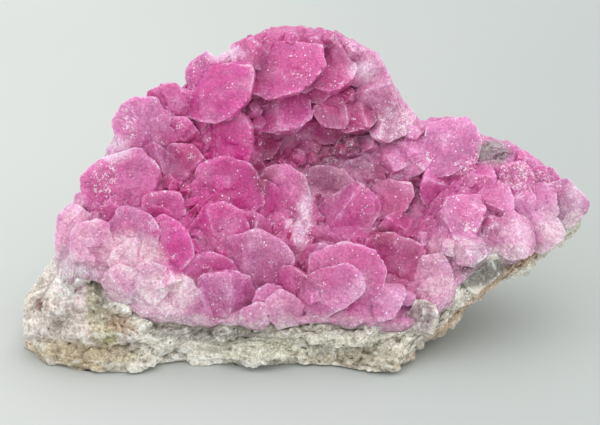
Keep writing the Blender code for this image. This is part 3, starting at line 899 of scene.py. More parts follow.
# The named crystals: across, up, length, width, aim, toward, proud, flat, roll, form, tone, frost
CRYSTAL_ROWS = (
    # Left shoulder and rim
    (-16.1, 24.6, 6.8, 4.8, 118, 25, 1.5, 0.75, 12, LEAF, PINK, 0.7),
    (-13.4, 26.9, 4.4, 3.7, 110, 30, 1.0, 0.85, 0, SHIELD, ROSE, 0.3),
    (-11.9, 26.2, 4.2, 3.6, 165, 32, 1.4, 0.8, 0, LEAF, PINK, 0.7),
    (-9.8, 29.5, 4.4, 3.8, 130, 30, 0.8, 0.8, 20, LEAF, PINK, 0.5),
    (-7.8, 27.7, 7.6, 7.6, -62, 38, 2.8, 0.75, 8, SHIELD, MAGENTA, 0.2),
    (-12.1, 24.1, 4.0, 3.6, 60, 42, 1.4, 0.9, 10, RHOMB, ROSE, 0.4),
    (-13.7, 23.0, 3.4, 2.8, 110, 36, 1.3, 0.9, 10, LEAF, ROSE, 0.3),
    (-14.4, 20.9, 4.8, 3.4, 110, 33, 1.2, 0.8, 0, TWIN, DUSTY, 0.3),
    (-11.8, 20.6, 6.2, 3.8, 65, 30, 1.3, 0.85, 0, RHOMB, PLUM, 0.2),
    (-17.8, 18.2, 8.0, 7.6, 122, 26, 1.7, 0.62, 0, SHIELD, ROSE, 0.5),
    (-18.0, 15.6, 4.4, 3.4, 150, 30, 1.5, 0.8, 0, TWIN, ROSE, 0.4),
    (-22.3, 13.6, 7.0, 3.4, 96, 14, 1.0, 0.8, 0, TWIN, PALE, 0.2),
    (-20.4, 12.7, 5.8, 3.4, 97, 20, 1.3, 0.8, 0, LEAF, PALE, 0.4),
    (-16.5, 14.0, 5.4, 4.6, 64, 32, 2.0, 0.75, 0, LEAF, LILAC, 0.3),
    (-13.5, 16.1, 4.6, 4.6, 95, 32, 2.2, 0.8, 0, SHIELD, ROSE, 0.3),
    (-13.6, 12.6, 7.4, 5.2, 38, 34, 2.4, 0.7, 0, LEAF, MAGENTA, 0.4),
    (-13.4, 10.0, 5.4, 4.4, -70, 38, 1.8, 0.75, 0, TURNED, ROSE, 0.3),
    (-17.0, 10.8, 5.4, 4.2, 120, 34, 1.4, 0.75, 15, TWIN, WHITE, 0.4),
    (-11.9, 7.9, 4.4, 3.6, 70, 32, 1.5, 0.7, -20, TWIN, WHITE, 0.3),
    (-14.8, 8.7, 5.4, 4.6, 100, 30, 1.3, 0.65, 10, RHOMB, WHITE, 0.2),
    (-17.8, 8.8, 4.4, 3.2, 115, 30, 1.0, 0.7, 0, TURNED, PALE, 0.3),
    (-9.9, 6.7, 3.6, 3.0, 120, 32, 1.1, 0.65, 0, TWIN, PINK, 0.2),
    # Middle, from the hollow down to the front lip
    (-7.2, 23.0, 8.0, 6.6, -18, 38, 1.9, 0.8, 12, SHIELD, MAGENTA, 0.1),
    (-7.4, 17.8, 9.4, 5.8, 92, 24, 2.9, 0.66, 0, SHIELD, MAGENTA, 0.3),
    (-4.2, 16.0, 8.0, 4.6, 88, 27, 2.9, 0.7, 0, TWIN, BRIGHT, 0.3),
    (-7.9, 14.0, 7.8, 5.2, 100, 28, 3.3, 0.7, 0, TURNED, BRIGHT, 0.4),
    (-5.0, 13.6, 6.4, 4.0, 80, 30, 3.0, 0.75, 0, TWIN, DUSTY, 0.3),
    (-4.2, 10.8, 8.4, 7.0, 62, 30, 3.3, 0.62, 0, TURNED, DUSTY, 0.5),
    (-9.2, 9.8, 6.2, 5.0, 105, 36, 2.3, 0.7, 0, LEAF, ROSE, 0.6),
    (-7.4, 7.8, 6.6, 5.8, 95, 36, 1.8, 0.65, 0, TWIN, PINK, 0.4),
    (-1.6, 16.7, 10.4, 4.3, 91, 20, 4.1, 0.78, 0, LEAF, ROSE, 0.5),
    (0.5, 14.4, 8.2, 2.1, 86, 24, 3.7, 0.8, 35, RHOMB, PALE, 1.0),
    (3.1, 18.0, 5.8, 4.8, 62, 28, 2.4, 0.7, 0, RHOMB, DUSTY, 0.2),
    (4.9, 15.6, 8.6, 5.0, 50, 28, 3.9, 0.8, 0, TURNED, ROSE, 0.3),
    (2.2, 12.6, 4.8, 4.0, 60, 36, 2.6, 0.8, 0, LEAF, DUSTY, 0.5),
    (1.7, 10.4, 6.6, 4.2, 22, 32, 2.4, 0.75, 0, RHOMB, PLUM, 0.1),
    (-0.6, 8.6, 4.8, 4.2, 60, 38, 2.6, 0.75, 0, TWIN, ROSE, 0.2),
    (4.4, 8.9, 11.2, 6.4, 33, 18, 3.0, 0.55, 0, SHIELD, ROSE, 0.1),
    (3.4, 8.1, 7.6, 4.0, 27, 20, 4.2, 0.5, 0, LEAF, PINK, 0.2),
    (-3.2, 7.2, 4.0, 2.8, 158, 30, 2.4, 0.6, 0, TURNED, PINK, 0.2),
    (-1.7, 6.4, 5.0, 3.2, 132, 30, 2.4, 0.55, 0, LEAF, PALE, 0.1),
    (-4.4, 5.6, 3.6, 3.0, 100, 38, 1.8, 0.6, 15, RHOMB, PALE, 0.2),
    (9.1, 16.9, 5.0, 4.4, -55, 40, 2.6, 0.9, 0, RHOMB, PLUM, 0.2),
    (9.7, 13.7, 5.2, 4.0, 150, 34, 1.9, 0.8, 0, TWIN, ROSE, 0.1),
    (9.9, 10.2, 7.8, 6.4, 18, 30, 2.0, 0.65, 0, SHIELD, PLUM, 0.1),
    (8.5, 6.9, 4.8, 4.0, -60, 34, 1.7, 0.75, 0, RHOMB, LILAC, 0.4),
    (13.0, 9.3, 6.4, 4.6, 24, 30, 1.6, 0.65, 0, LEAF, PALE, 0.5),
    # The hollow and the wall above it
    (-3.4, 22.2, 4.0, 3.6, -60, 42, 1.2, 0.85, 0, RHOMB, PLUM, 0.2),
    (0.8, 22.6, 4.2, 2.8, -52, 40, 1.2, 0.8, 10, TWIN, DUSTY, 0.2),
    (2.6, 23.6, 3.0, 2.6, -120, 42, 1.3, 0.9, 10, RHOMB, ROSE, 0.3),
    (5.9, 20.2, 3.4, 3.2, 80, 44, 1.5, 1.0, 0, RHOMB, MAUVE, 0.4),
    (7.6, 18.8, 3.8, 3.2, -20, 42, 1.2, 0.9, 10, TWIN, MAUVE, 0.3),
    (3.0, 20.4, 3.0, 2.8, 60, 40, 0.9, 0.9, 10, RHOMB, MAUVE, 0.6),
    (-1.6, 25.5, 5.6, 5.4, -75, 44, 2.4, 0.85, 0, TWIN, ROSE, 0.4),
    (3.0, 25.9, 4.8, 4.2, -118, 42, 2.0, 0.85, 0, RHOMB, PLUM, 0.3),
    (5.7, 25.2, 5.0, 4.0, -76, 42, 1.8, 0.8, 0, TURNED, PLUM, 0.4),
    (1.7, 28.0, 4.0, 3.4, -70, 42, 1.5, 0.85, 0, RHOMB, PLUM, 0.2),
    (3.3, 29.4, 4.8, 4.4, -72, 42, 1.7, 0.9, 0, SHIELD, BRIGHT, 0.5),
    (-1.2, 29.8, 7.6, 7.4, -62, 42, 2.6, 0.72, 0, SHIELD, BRIGHT, 0.5),
    # Back rim
    (-1.4, 30.9, 8.6, 4.0, 174, 12, 0.6, 0.8, 0, LEAF, DUSTY, 0.5),
    (3.1, 30.8, 5.2, 4.0, 28, 26, 0.9, 0.8, 0, LEAF, DUSTY, 0.5),
    (6.6, 30.4, 4.8, 3.6, 42, 30, 0.8, 0.85, 0, TWIN, PALE, 0.5),
    (8.0, 27.8, 4.8, 4.4, 12, 40, 1.3, 0.85, 0, TURNED, PALE, 0.5),
    (8.8, 24.8, 6.0, 4.4, -105, 36, 1.4, 0.7, 0, TWIN, PALE, 0.9),
    # Right arm
    (9.6, 21.4, 4.8, 3.8, -60, 34, 1.5, 0.85, 0, TWIN, PINK, 0.4),
    (11.9, 21.1, 4.6, 4.0, -38, 38, 2.3, 0.85, 0, TURNED, PINK, 0.6),
    (15.1, 22.3, 6.8, 6.4, -48, 38, 1.6, 0.75, 0, SHIELD, PINK, 0.5),
    (16.3, 21.2, 4.4, 4.2, -55, 42, 2.3, 0.7, 0, SHIELD, ROSE, 0.9),
    (17.6, 18.7, 6.2, 4.6, -14, 36, 1.6, 0.8, 0, TURNED, ROSE, 0.4),
    (13.8, 18.3, 5.0, 4.4, 165, 38, 1.8, 0.85, 0, TWIN, ROSE, 0.4),
    (12.6, 15.4, 5.2, 4.0, -100, 36, 1.3, 0.8, 0, RHOMB, DUSTY, 0.4),
    (16.1, 15.0, 6.0, 4.5, -52, 38, 3.0, 0.8, 0, RHOMB, PINK, 0.6),
    (19.5, 13.3, 4.8, 3.0, -95, 30, 1.1, 0.85, 30, RHOMB, MAUVE, 0.5),
    (19.9, 16.6, 4.6, 3.8, -20, 34, 1.7, 0.8, 0, TWIN, PINK, 0.8),
    (22.3, 16.4, 3.2, 2.6, -30, 38, 1.9, 0.9, 0, RHOMB, PINK, 0.4),
    (21.3, 13.0, 5.2, 4.0, -80, 30, 1.5, 0.8, 0, TURNED, PALE, 0.5),
    (19.6, 19.4, 4.6, 3.8, 60, 34, 1.3, 0.85, 0, RHOMB, PINK, 0.7),
    (21.8, 18.7, 4.8, 4.4, 25, 34, 1.7, 0.8, 0, SHIELD, PINK, 0.9),
    (24.5, 18.9, 3.8, 3.2, 50, 32, 1.1, 0.85, 10, RHOMB, PINK, 0.9),
    (24.0, 16.4, 5.0, 4.0, -35, 32, 1.2, 0.8, 0, TWIN, LILAC, 0.3),
    (24.5, 13.6, 4.4, 3.8, -50, 30, 1.1, 0.8, 0, TURNED, PALE, 0.3),
    (26.5, 16.4, 5.4, 4.2, -40, 22, 0.8, 0.75, 0, LEAF, MAUVE, 0.2),
)

# The broken blocks of the rock, laid out in the same way
CHUNK_ROWS = (
    # Left end: steep columns, a stained ridge and a bright broken corner
    (-24.0, 5.2, 6.0, 4.4, 66, 6, -0.9, 0.7, 10, BLOCK),
    (-22.8, 8.0, 6.6, 3.4, 72, 6, -0.4, 0.7, 25, BLOCK),
    (-21.2, 5.8, 6.6, 3.4, 80, 8, 0.0, 0.7, 0, BLOCK),
    (-19.6, 6.4, 8.0, 2.8, 84, 6, 0.3, 0.8, 35, BLOCK),
    (-23.2, 2.2, 6.0, 3.4, 12, 8, -0.5, 0.8, 10, BLOCK),
    (-18.0, 6.4, 2.6, 2.2, 25, 40, 0.4, 0.8, 0, BLOCK),
    (-16.8, 4.8, 4.0, 2.0, -25, 15, 0.2, 0.8, 20, BLOCK),
    (-18.2, 2.2, 6.4, 3.0, 8, 6, -0.2, 0.8, 0, BLOCK),
    # Front band: ledges
    (-13.6, 2.9, 6.4, 2.0, 20, 4, 0.1, 0.8, 0, BLOCK),
    (-9.4, 2.6, 6.6, 1.8, -10, 4, -0.1, 0.8, 25, BLOCK),
    (-8.0, 1.5, 7.6, 1.6, 4, 4, 0.1, 0.8, 15, BLOCK),
    (-3.0, 1.5, 8.0, 1.9, 3, 4, -0.1, 0.8, 0, BLOCK),
    (-2.4, 3.2, 7.0, 1.7, -5, 4, -0.2, 0.8, 30, BLOCK),
    (3.6, 1.7, 7.6, 1.8, -4, 4, -0.1, 0.8, 20, BLOCK),
    (4.6, 3.4, 6.4, 1.7, 5, 4, -0.2, 0.8, 0, BLOCK),
    (8.8, 1.6, 5.4, 2.4, 12, 4, -0.2, 0.8, 10, BLOCK),
    # Under the right arm
    (12.2, 5.2, 3.4, 3.0, 70, 15, -0.3, 0.8, 20, BLOCK),
    (18.0, 9.4, 5.0, 3.0, 35, 6, 0.0, 0.8, 10, BLOCK),
)

CRYSTALS = tuple(Crystal(*row) for row in CRYSTAL_ROWS)
CHUNKS = tuple(Crystal(*row) for row in CHUNK_ROWS)

# How much larger a crystal with bulging faces is made than its flat-faced outline
SWELL = 1.06

# How uneven a crystal's faces are: soft dents, chips and fine grain
DENTS = Pattern(0.22, 2.6, 61.0)
NICKS = Pattern(0.18, 1.9, 63.0)
GRAIN = Pattern(0.03, 0.8, 62.0)


def crystal_shell(
    crystal: Crystal, rock: RockForm, rows: int, columns: int
) -> tuple[Array, Array]:
    """A crystal's skin on a grid of directions from its middle, at the nearest face of each.

    A direction near the edge between two faces is moved onto it, by one step against the slope of
    the difference of their reaches, so that the edges are keen.

    Args:
        crystal: The crystal.
        rock: The form of the rock beneath it.
        rows: Steps from its tip to its root.
        columns: Steps round it.

    Returns:
        The points and the faces.
    """
    polar = np.pi * (np.arange(rows) + 0.5) / rows
    azimuth = 2 * np.pi * np.arange(columns) / columns
    polar, azimuth = np.meshgrid(polar, azimuth, indexing="ij")
    sin, cos = np.sin(polar), np.cos(polar)
    ways = np.stack([sin * np.cos(azimuth), sin * np.sin(azimuth), cos], -1)
    down = np.stack([cos * np.cos(azimuth), cos * np.sin(azimuth), -sin], -1)
    about = np.stack([-np.sin(azimuth), np.cos(azimuth), 0 * sin], -1)
    nearest = np.argsort(crystal.reach(ways), axis=-1)[..., :2]

    def gap(directions: Array) -> Array:
        """The difference of the two nearest faces' reaches, along each direction."""
        reach = np.take_along_axis(crystal.reach(unit(directions)), nearest, axis=-1)
        return reach[..., 1] - reach[..., 0]

    here, small = gap(ways), 1e-4
    fall, drift = ((gap(ways + small * side) - here) / small for side in (down, about))
    steep = fall**2 + drift**2 + 1e-12
    shift = -(here / steep)[..., None] * (fall[..., None] * down + drift[..., None] * about)
    room = 0.5 * np.minimum(np.pi / rows, 2 * np.pi / columns * sin)
    near = np.linalg.norm(shift, axis=-1) < room
    ways = unit(ways + np.where(near[..., None], shift, 0.0))
    radius = SWELL * crystal.reach(ways).min(axis=-1)
    matrix, middle = crystal.pose(rock)
    points = (ways * radius[..., None]) @ matrix.T + middle
    uneven = DENTS.soft(points) + NICKS.chips(points) + GRAIN.layered(points)
    return closed_rings(points + unit(points - middle) * uneven[..., None])


class Mottle(NamedTuple):
    """The dark and the light tint of a mottled colour, and how much of them counts."""

    share: float
    dark: Colour
    light: Colour


@dataclass
class Bench:
    """A material's node tree and the few steps that every finish here is made with."""

    material: bpy.types.Material

    @classmethod
    def named(cls, name: str) -> "Bench":
        """A new material with an empty bench.

        Args:
            name: The material's name.

        Returns:
            The bench, holding a Principled shader.
        """
        material = bpy.data.materials.new(name)
        material.use_nodes = True
        return cls(material)

    @property
    def shader(self) -> bpy.types.Node:
        """The material's Principled shader."""
        return self.material.node_tree.nodes["Principled BSDF"]

    def node(self, kind: str, **settings: object) -> bpy.types.Node:
        """A new node.

        Args:
            kind: The node's type, without its leading "ShaderNode".
            settings: Its properties, and its inputs with "_" for a space.

        Returns:
            The node.
        """
        made = self.material.node_tree.nodes.new("ShaderNode" + kind)
        for name, value in settings.items():
            if hasattr(made, name):
                setattr(made, name, value)
            else:
                self.feed(made, name.replace("_", " "), value)
        return made

    def feed(self, node: bpy.types.Node, name: str | int, value: object) -> None:
        """Gives an input a value, or links another node's output to it.

        Args:
            node: The node that is fed.
            name: The input's name or number.
            value: A number, a colour or an output.
        """
        target = node.inputs[name]
        if isinstance(value, Socket):
            self.material.node_tree.links.new(value, target)
        else:
            target.default_value = value

    def place(self) -> Socket:
        """The point's place in the object's own metres."""
        return self.node("TexCoord").outputs["Object"]

    def read(self, name: str, colour: bool = True) -> Socket:
        """An attribute of the mesh, as a colour or as a number."""
        found = self.node("Attribute", attribute_name=name)
        return found.outputs["Color" if colour else "Fac"]

    def noise(self, size: float, detail: float = 3.0, rough: float = 0.55) -> Socket:
        """Noise with features of a given size.

        Args:
            size: Feature size in millimetres.
            detail: How many finer layers it has.
            rough: How strong they are.

        Returns:
            A number from 0 to 1, about 0.5.
        """
        made = self.node("TexNoise", Vector=self.place(), Scale=1.0 / (size * MM))
        made.inputs["Detail"].default_value = detail
        made.inputs["Roughness"].default_value = rough
        return made.outputs["Fac"]

    def cells(self, size: float) -> bpy.types.Node:
        """Grains of a given size in millimetres, with a colour of its own for each."""
        return self.node("TexVoronoi", Vector=self.place(), Scale=1.0 / (size * MM))

    def chances(self, cells: bpy.types.Node) -> list[Socket]:
        """Three numbers from 0 to 1 for each grain, the same all over it."""
        return list(self.node("SeparateColor", Color=cells.outputs["Color"]).outputs)

    def range(
        self, value: Socket, low: object, high: object, start: float = 0.0, end: float = 1.0
    ) -> Socket:
        """Maps a range of numbers onto another, smoothly and without going past its ends.

        Args:
            value: What is mapped.
            low: The value that becomes start, a number or an output.
            high: The value that becomes end, a number or an output.
            start: The first result.
            end: The last result.

        Returns:
            The mapped number.
        """
        made = self.node("MapRange", interpolation_type="SMOOTHSTEP")
        for number, item in enumerate((value, low, high, start, end)):
            self.feed(made, number, item)
        return made.outputs["Result"]

    def maths(self, what: str, first: object, second: object) -> Socket:
        """A step of arithmetic.

        Args:
            what: The operation, such as ADD.
            first: A number or an output.
            second: A number or an output.

        Returns:
            The result.
        """
        made = self.node("Math", operation=what)
        self.feed(made, 0, first)
        self.feed(made, 1, second)
        return made.outputs["Value"]

    def times(self, first: object, second: object) -> Socket:
        """The product of two numbers or outputs."""
        return self.maths("MULTIPLY", first, second)

    def vector(self, what: str, first: object, second: object = None) -> Socket:
        """A step of vector arithmetic.

        Args:
            what: The operation, such as ADD.
            first: A vector or an output.
            second: A vector or an output, if it takes one. A number, for SCALE.

        Returns:
            The resulting vector.
        """
        made = self.node("VectorMath", operation=what)
        self.feed(made, 0, first)
        if second is not None:
            self.feed(made, "Scale" if what == "SCALE" else 1, second)
        return made.outputs["Vector"]

    def mix(self, share: object, first: object, second: object, blend: str = "MIX") -> Socket:
        """Blends two colours.

        Args:
            share: How much of the second.
            first: A colour or an output.
            second: A colour or an output.
            blend: The way they are blended.

        Returns:
            The colour.
        """
        made = self.node("Mix", data_type="RGBA", blend_type=blend)
        made.clamp_factor = True
        for number, item in ((0, share), (6, first), (7, second)):
            self.feed(made, number, (*item, 1.0) if isinstance(item, tuple) else item)
        return made.outputs[2]

    def tinted(self, tone: Socket, share: object, tint: object) -> Socket:
        """Multiplies a colour by a tint.

        Args:
            tone: The colour.
            share: How much of the tint it takes.
            tint: A colour or an output.

        Returns:
            The tinted colour.
        """
        return self.mix(share, tone, tint, "MULTIPLY")

    def mottled(self, tone: Socket, pattern: Socket, mottle: Mottle) -> Socket:
        """Multiplies a colour by tints that follow a pattern.

        Args:
            tone: The colour.
            pattern: A number, 0 for the mottle's dark tint and 1 for its light one.
            mottle: The tints.

        Returns:
            The mottled colour.
        """
        return self.tinted(tone, mottle.share, self.mix(pattern, mottle.dark, mottle.light))

    def bumped(self, height: Socket, depth: float, strength: float, normal: Socket) -> None:
        """Gives the shader its normal, with relief.

        Args:
            height: The relief, from 0 to 1.
            depth: How deep it is, in millimetres.
            strength: How much of it counts.
            normal: The normal that it is laid on.
        """
        bump = self.node("Bump", Strength=strength, Distance=depth * MM, Height=height, Normal=normal)
        self.feed(self.shader, "Normal", bump.outputs["Normal"])

    def glowing(self, share: float, reach: Colour, size: float) -> None:
        """Lets light travel inside.

        Args:
            share: How much of its light comes from inside.
            reach: How far each colour travels, as shares of the size.
            size: How far light travels, in millimetres.
        """
        self.feed(self.shader, "Subsurface Weight", share)
        self.feed(self.shader, "Subsurface Radius", reach)
        self.feed(self.shader, "Subsurface Scale", size * MM)

    def glinting(self, size: float, tilt: object, normal: Socket) -> Socket:
        """Tilts the surface by a random amount in every grain, so that some grains catch the light.

        Args:
            size: The grains' size in millimetres.
            tilt: How far they tilt.
            normal: The normal that is tilted.

        Returns:
            The tilted normal.
        """
        colour = self.cells(size).outputs["Color"]
        lean = self.vector("SUBTRACT", colour, (0.5, 0.5, 0.5))
        return self.vector("NORMALIZE", self.vector("ADD", normal, self.vector("SCALE", lean, tilt)))


class Band(NamedTuple):
    """A growth zone round each face: where it begins, by nearness to the edge, and its tint."""

    low: float
    high: float
    tint: Colour


@dataclass(frozen=True)
class CalciteFinish:
    """Translucent pink calcite with frosted faces that glitter.

    Attributes:
        glow: How far light travels inside it, in millimetres.
        share: How much of its light comes from inside.
        reach: How far each colour of that light travels, as shares of the glow.
        frost_size: The grain of its frosted faces, in millimetres.
        rough: How rough its faces are.
        cloud_tint: The tint of the clouds inside it.
        veils: The sizes and tints of the veils inside it.
        streak_size: The width of its streaks, in millimetres.
        streak_stretch: How the place is squashed to draw them out along Z.
        streak_tint: Their tint.
        bands: The growth zones of its faces.
        grain_tint: The tint between the grains.
        crease_shade_tint: The tint of the painted shade in its crevices.
        flecked: The tints of its fine grains.
        coarse_size: The size of its coarser grains, in millimetres.
        coarse: Their tints.
        white: The colour of frost, broken rims and glints.
        facets: The size and tilt of the faint facets of its faces.
    """

    glow: float = 1.5
    share: float = 0.52
    reach: Colour = (1.0, 0.42, 0.7)
    frost_size: float = 0.16
    rough: float = 0.42
    cloud_tint: Colour = (0.95, 0.82, 0.95)
    veils: tuple[tuple[float, Mottle], ...] = (
        (1.7, Mottle(0.50, (0.88, 0.66, 0.84), (1.14, 1.28, 1.20))),
        (0.75, Mottle(0.28, (0.88, 0.66, 0.84), (1.14, 1.28, 1.20))),
    )
    streak_size: float = 0.45
    streak_stretch: Triple = (0.9, 0.9, 0.22)
    streak_tint: Colour = (0.94, 0.76, 0.92)
    bands: tuple[Band, ...] = (
        Band(0.835, 0.86, (1.06, 1.17, 1.11)),
        Band(0.62, 0.65, (1.03, 1.14, 1.08)),
    )
    grain_tint: Colour = (0.80, 0.52, 0.74)
    crease_shade_tint: Colour = (0.74, 0.38, 0.56)
    flecked: Mottle = Mottle(0.42, (0.60, 0.42, 0.54), (1.26, 1.44, 1.32))
    coarse_size: float = 0.21
    coarse: Mottle = Mottle(0.46, (0.74, 0.56, 0.68), (1.22, 1.38, 1.27))
    # white: The colour of frost, and of the painted highlights on broken rims and of painted glints.
    white: Colour = (0.98, 0.86, 0.93)
    facets: tuple[tuple[float, float], ...] = ((1.7, 0.20), (0.75, 0.12))

    def clouded(self, bench: Bench) -> Socket:
        """The body colour: the attribute tone, with clouds, veils and streaks.

        Args:
            bench: The material's bench.

        Returns:
            The colour.
        """
        cloud = bench.range(bench.noise(0.8, 4.0, 0.6), 0.3, 0.7)
        tone = bench.tinted(bench.read("tone"), cloud, self.cloud_tint)
        for size, veil in self.veils:
            tone = bench.mottled(tone, bench.chances(bench.cells(size))[2], veil)
        along = bench.vector("MULTIPLY", bench.place(), self.streak_stretch)
        streaks = bench.node("TexNoise", Vector=along, Scale=1.0 / (self.streak_size * MM))
        streak = bench.range(streaks.outputs["Fac"], 0.42, 0.62, 0.0, 0.5)
        return bench.tinted(tone, streak, self.streak_tint)

    def banded(self, bench: Bench, tone: Socket) -> tuple[Socket, Socket]:
        """Growth zones, by the attribute zone, which is 1 on an edge and less inside a face.

        Args:
            bench: The material's bench.
            tone: The colour.

        Returns:
            The colour with paler, broken bands, and the height of their steps.
        """
        wavy = bench.times(bench.noise(0.7, 2.0), 0.16)
        zone = bench.maths("ADD", bench.read("zone", colour=False), wavy)
        zone = bench.maths("SUBTRACT", zone, 0.08)
        patchy = bench.range(bench.noise(1.6, 2.0), 0.42, 0.58, 0.15, 0.9)
        parts = [bench.range(zone, band.low, band.high) for band in self.bands]
        for part, band in zip(parts, self.bands):
            tone = bench.tinted(tone, bench.times(part, patchy), band.tint)
        return tone, bench.times(bench.maths("ADD", *parts), 0.45)

    def whitened(self, bench: Bench, grain: Socket, frosted: Socket, lit: Socket) -> Socket:
        """How white each place is: by its frost, a painted highlight on a broken rim by the attribute rim,
        or a painted glint.

        Args:
            bench: The material's bench.
            grain: The noise of the frost's grain.
            frosted: How frosted the place is.
            lit: 1 on a painted glint.

        Returns:
            A number from 0 to 1.
        """
        low = bench.range(frosted, 0.0, 1.0, 0.58, 0.40)
        high = bench.range(frosted, 0.0, 1.0, 0.84, 0.62)
        most = bench.range(frosted, 0.0, 1.0, 0.16, 0.95)
        white = bench.times(bench.range(grain, low, high), most)
        # Painted highlight: broken light rims along the crystals' edges.
        broken = bench.range(bench.noise(0.6, 3.0, 0.7), 0.42, 0.66, 0.0, 0.5)
        rim = bench.range(bench.read("rim", colour=False), 0.45, 1.0)
        white = bench.maths("MAXIMUM", white, bench.times(rim, broken))
        return bench.maths("MAXIMUM", white, bench.times(lit, 0.9))

    def material(self) -> bpy.types.Material:
        """Makes the material, which reads the attributes tone, frost, rim, edge and zone.

        Returns:
            The material.
        """
        bench = Bench.named("pink_calcite")
        shader = bench.shader
        frost = bench.read("frost", colour=False)
        tone, steps = self.banded(bench, self.clouded(bench))
        grain = bench.noise(self.frost_size, 2.0, 0.7)
        tone = bench.tinted(tone, bench.range(grain, 0.30, 0.52, 0.40, 0.0), self.grain_tint)
        # Painted shade: crevices, by the attribute edge, are darkened towards a deep magenta.
        painted_crease_shade = bench.range(bench.read("edge", colour=False), -0.08, -0.30, 0.0, 0.55)
        tone = bench.tinted(tone, painted_crease_shade, self.crease_shade_tint)
        uneven = bench.range(bench.noise(0.6, 3.0, 0.7), 0.36, 0.62, 0.25, 1.0)
        frosted = bench.times(frost, uneven)
        flecks = bench.cells(self.frost_size * 1.05)
        luck, fleck, breadth = bench.chances(flecks)
        tone = bench.mottled(tone, fleck, self.flecked)
        tone = bench.mottled(tone, bench.chances(bench.cells(self.coarse_size))[0], self.coarse)
        # Painted glints: a few grains, more where frosted, are made nearly white in the base colour.
        lit = bench.maths("GREATER_THAN", luck, bench.range(frosted, 0.1, 0.9, 0.986, 0.76))
        wide = bench.maths("ADD", bench.times(breadth, 0.45), 0.14)
        lit = bench.times(lit, bench.maths("LESS_THAN", flecks.outputs["Distance"], wide))
        white = self.whitened(bench, grain, frosted, lit)
        bench.feed(shader, "Base Color", bench.mix(white, tone, self.white))
        normal = bench.node("NewGeometry").outputs["Normal"]
        for size, tilt in self.facets:
            normal = bench.glinting(size, tilt, normal)
        tilt = bench.maths("ADD", bench.times(frost, 0.35), bench.times(lit, 0.5))
        normal = bench.glinting(self.frost_size, tilt, normal)
        bench.bumped(bench.maths("SUBTRACT", grain, steps), 0.07, 0.6, normal)
        dull = bench.range(frosted, 0.05, 0.5, self.rough - 0.12, self.rough + 0.10)
        bench.feed(shader, "Roughness", bench.maths("SUBTRACT", dull, bench.times(lit, 0.15)))
        bench.feed(shader, "IOR", 1.6)
        bench.glowing(self.share, self.reach, self.glow)
        return bench.material


class Speck(NamedTuple):
    """Dark specks: the size of their cells, the share of cells that have none, and their colour."""

    size: float
    without: float
    colour: Colour


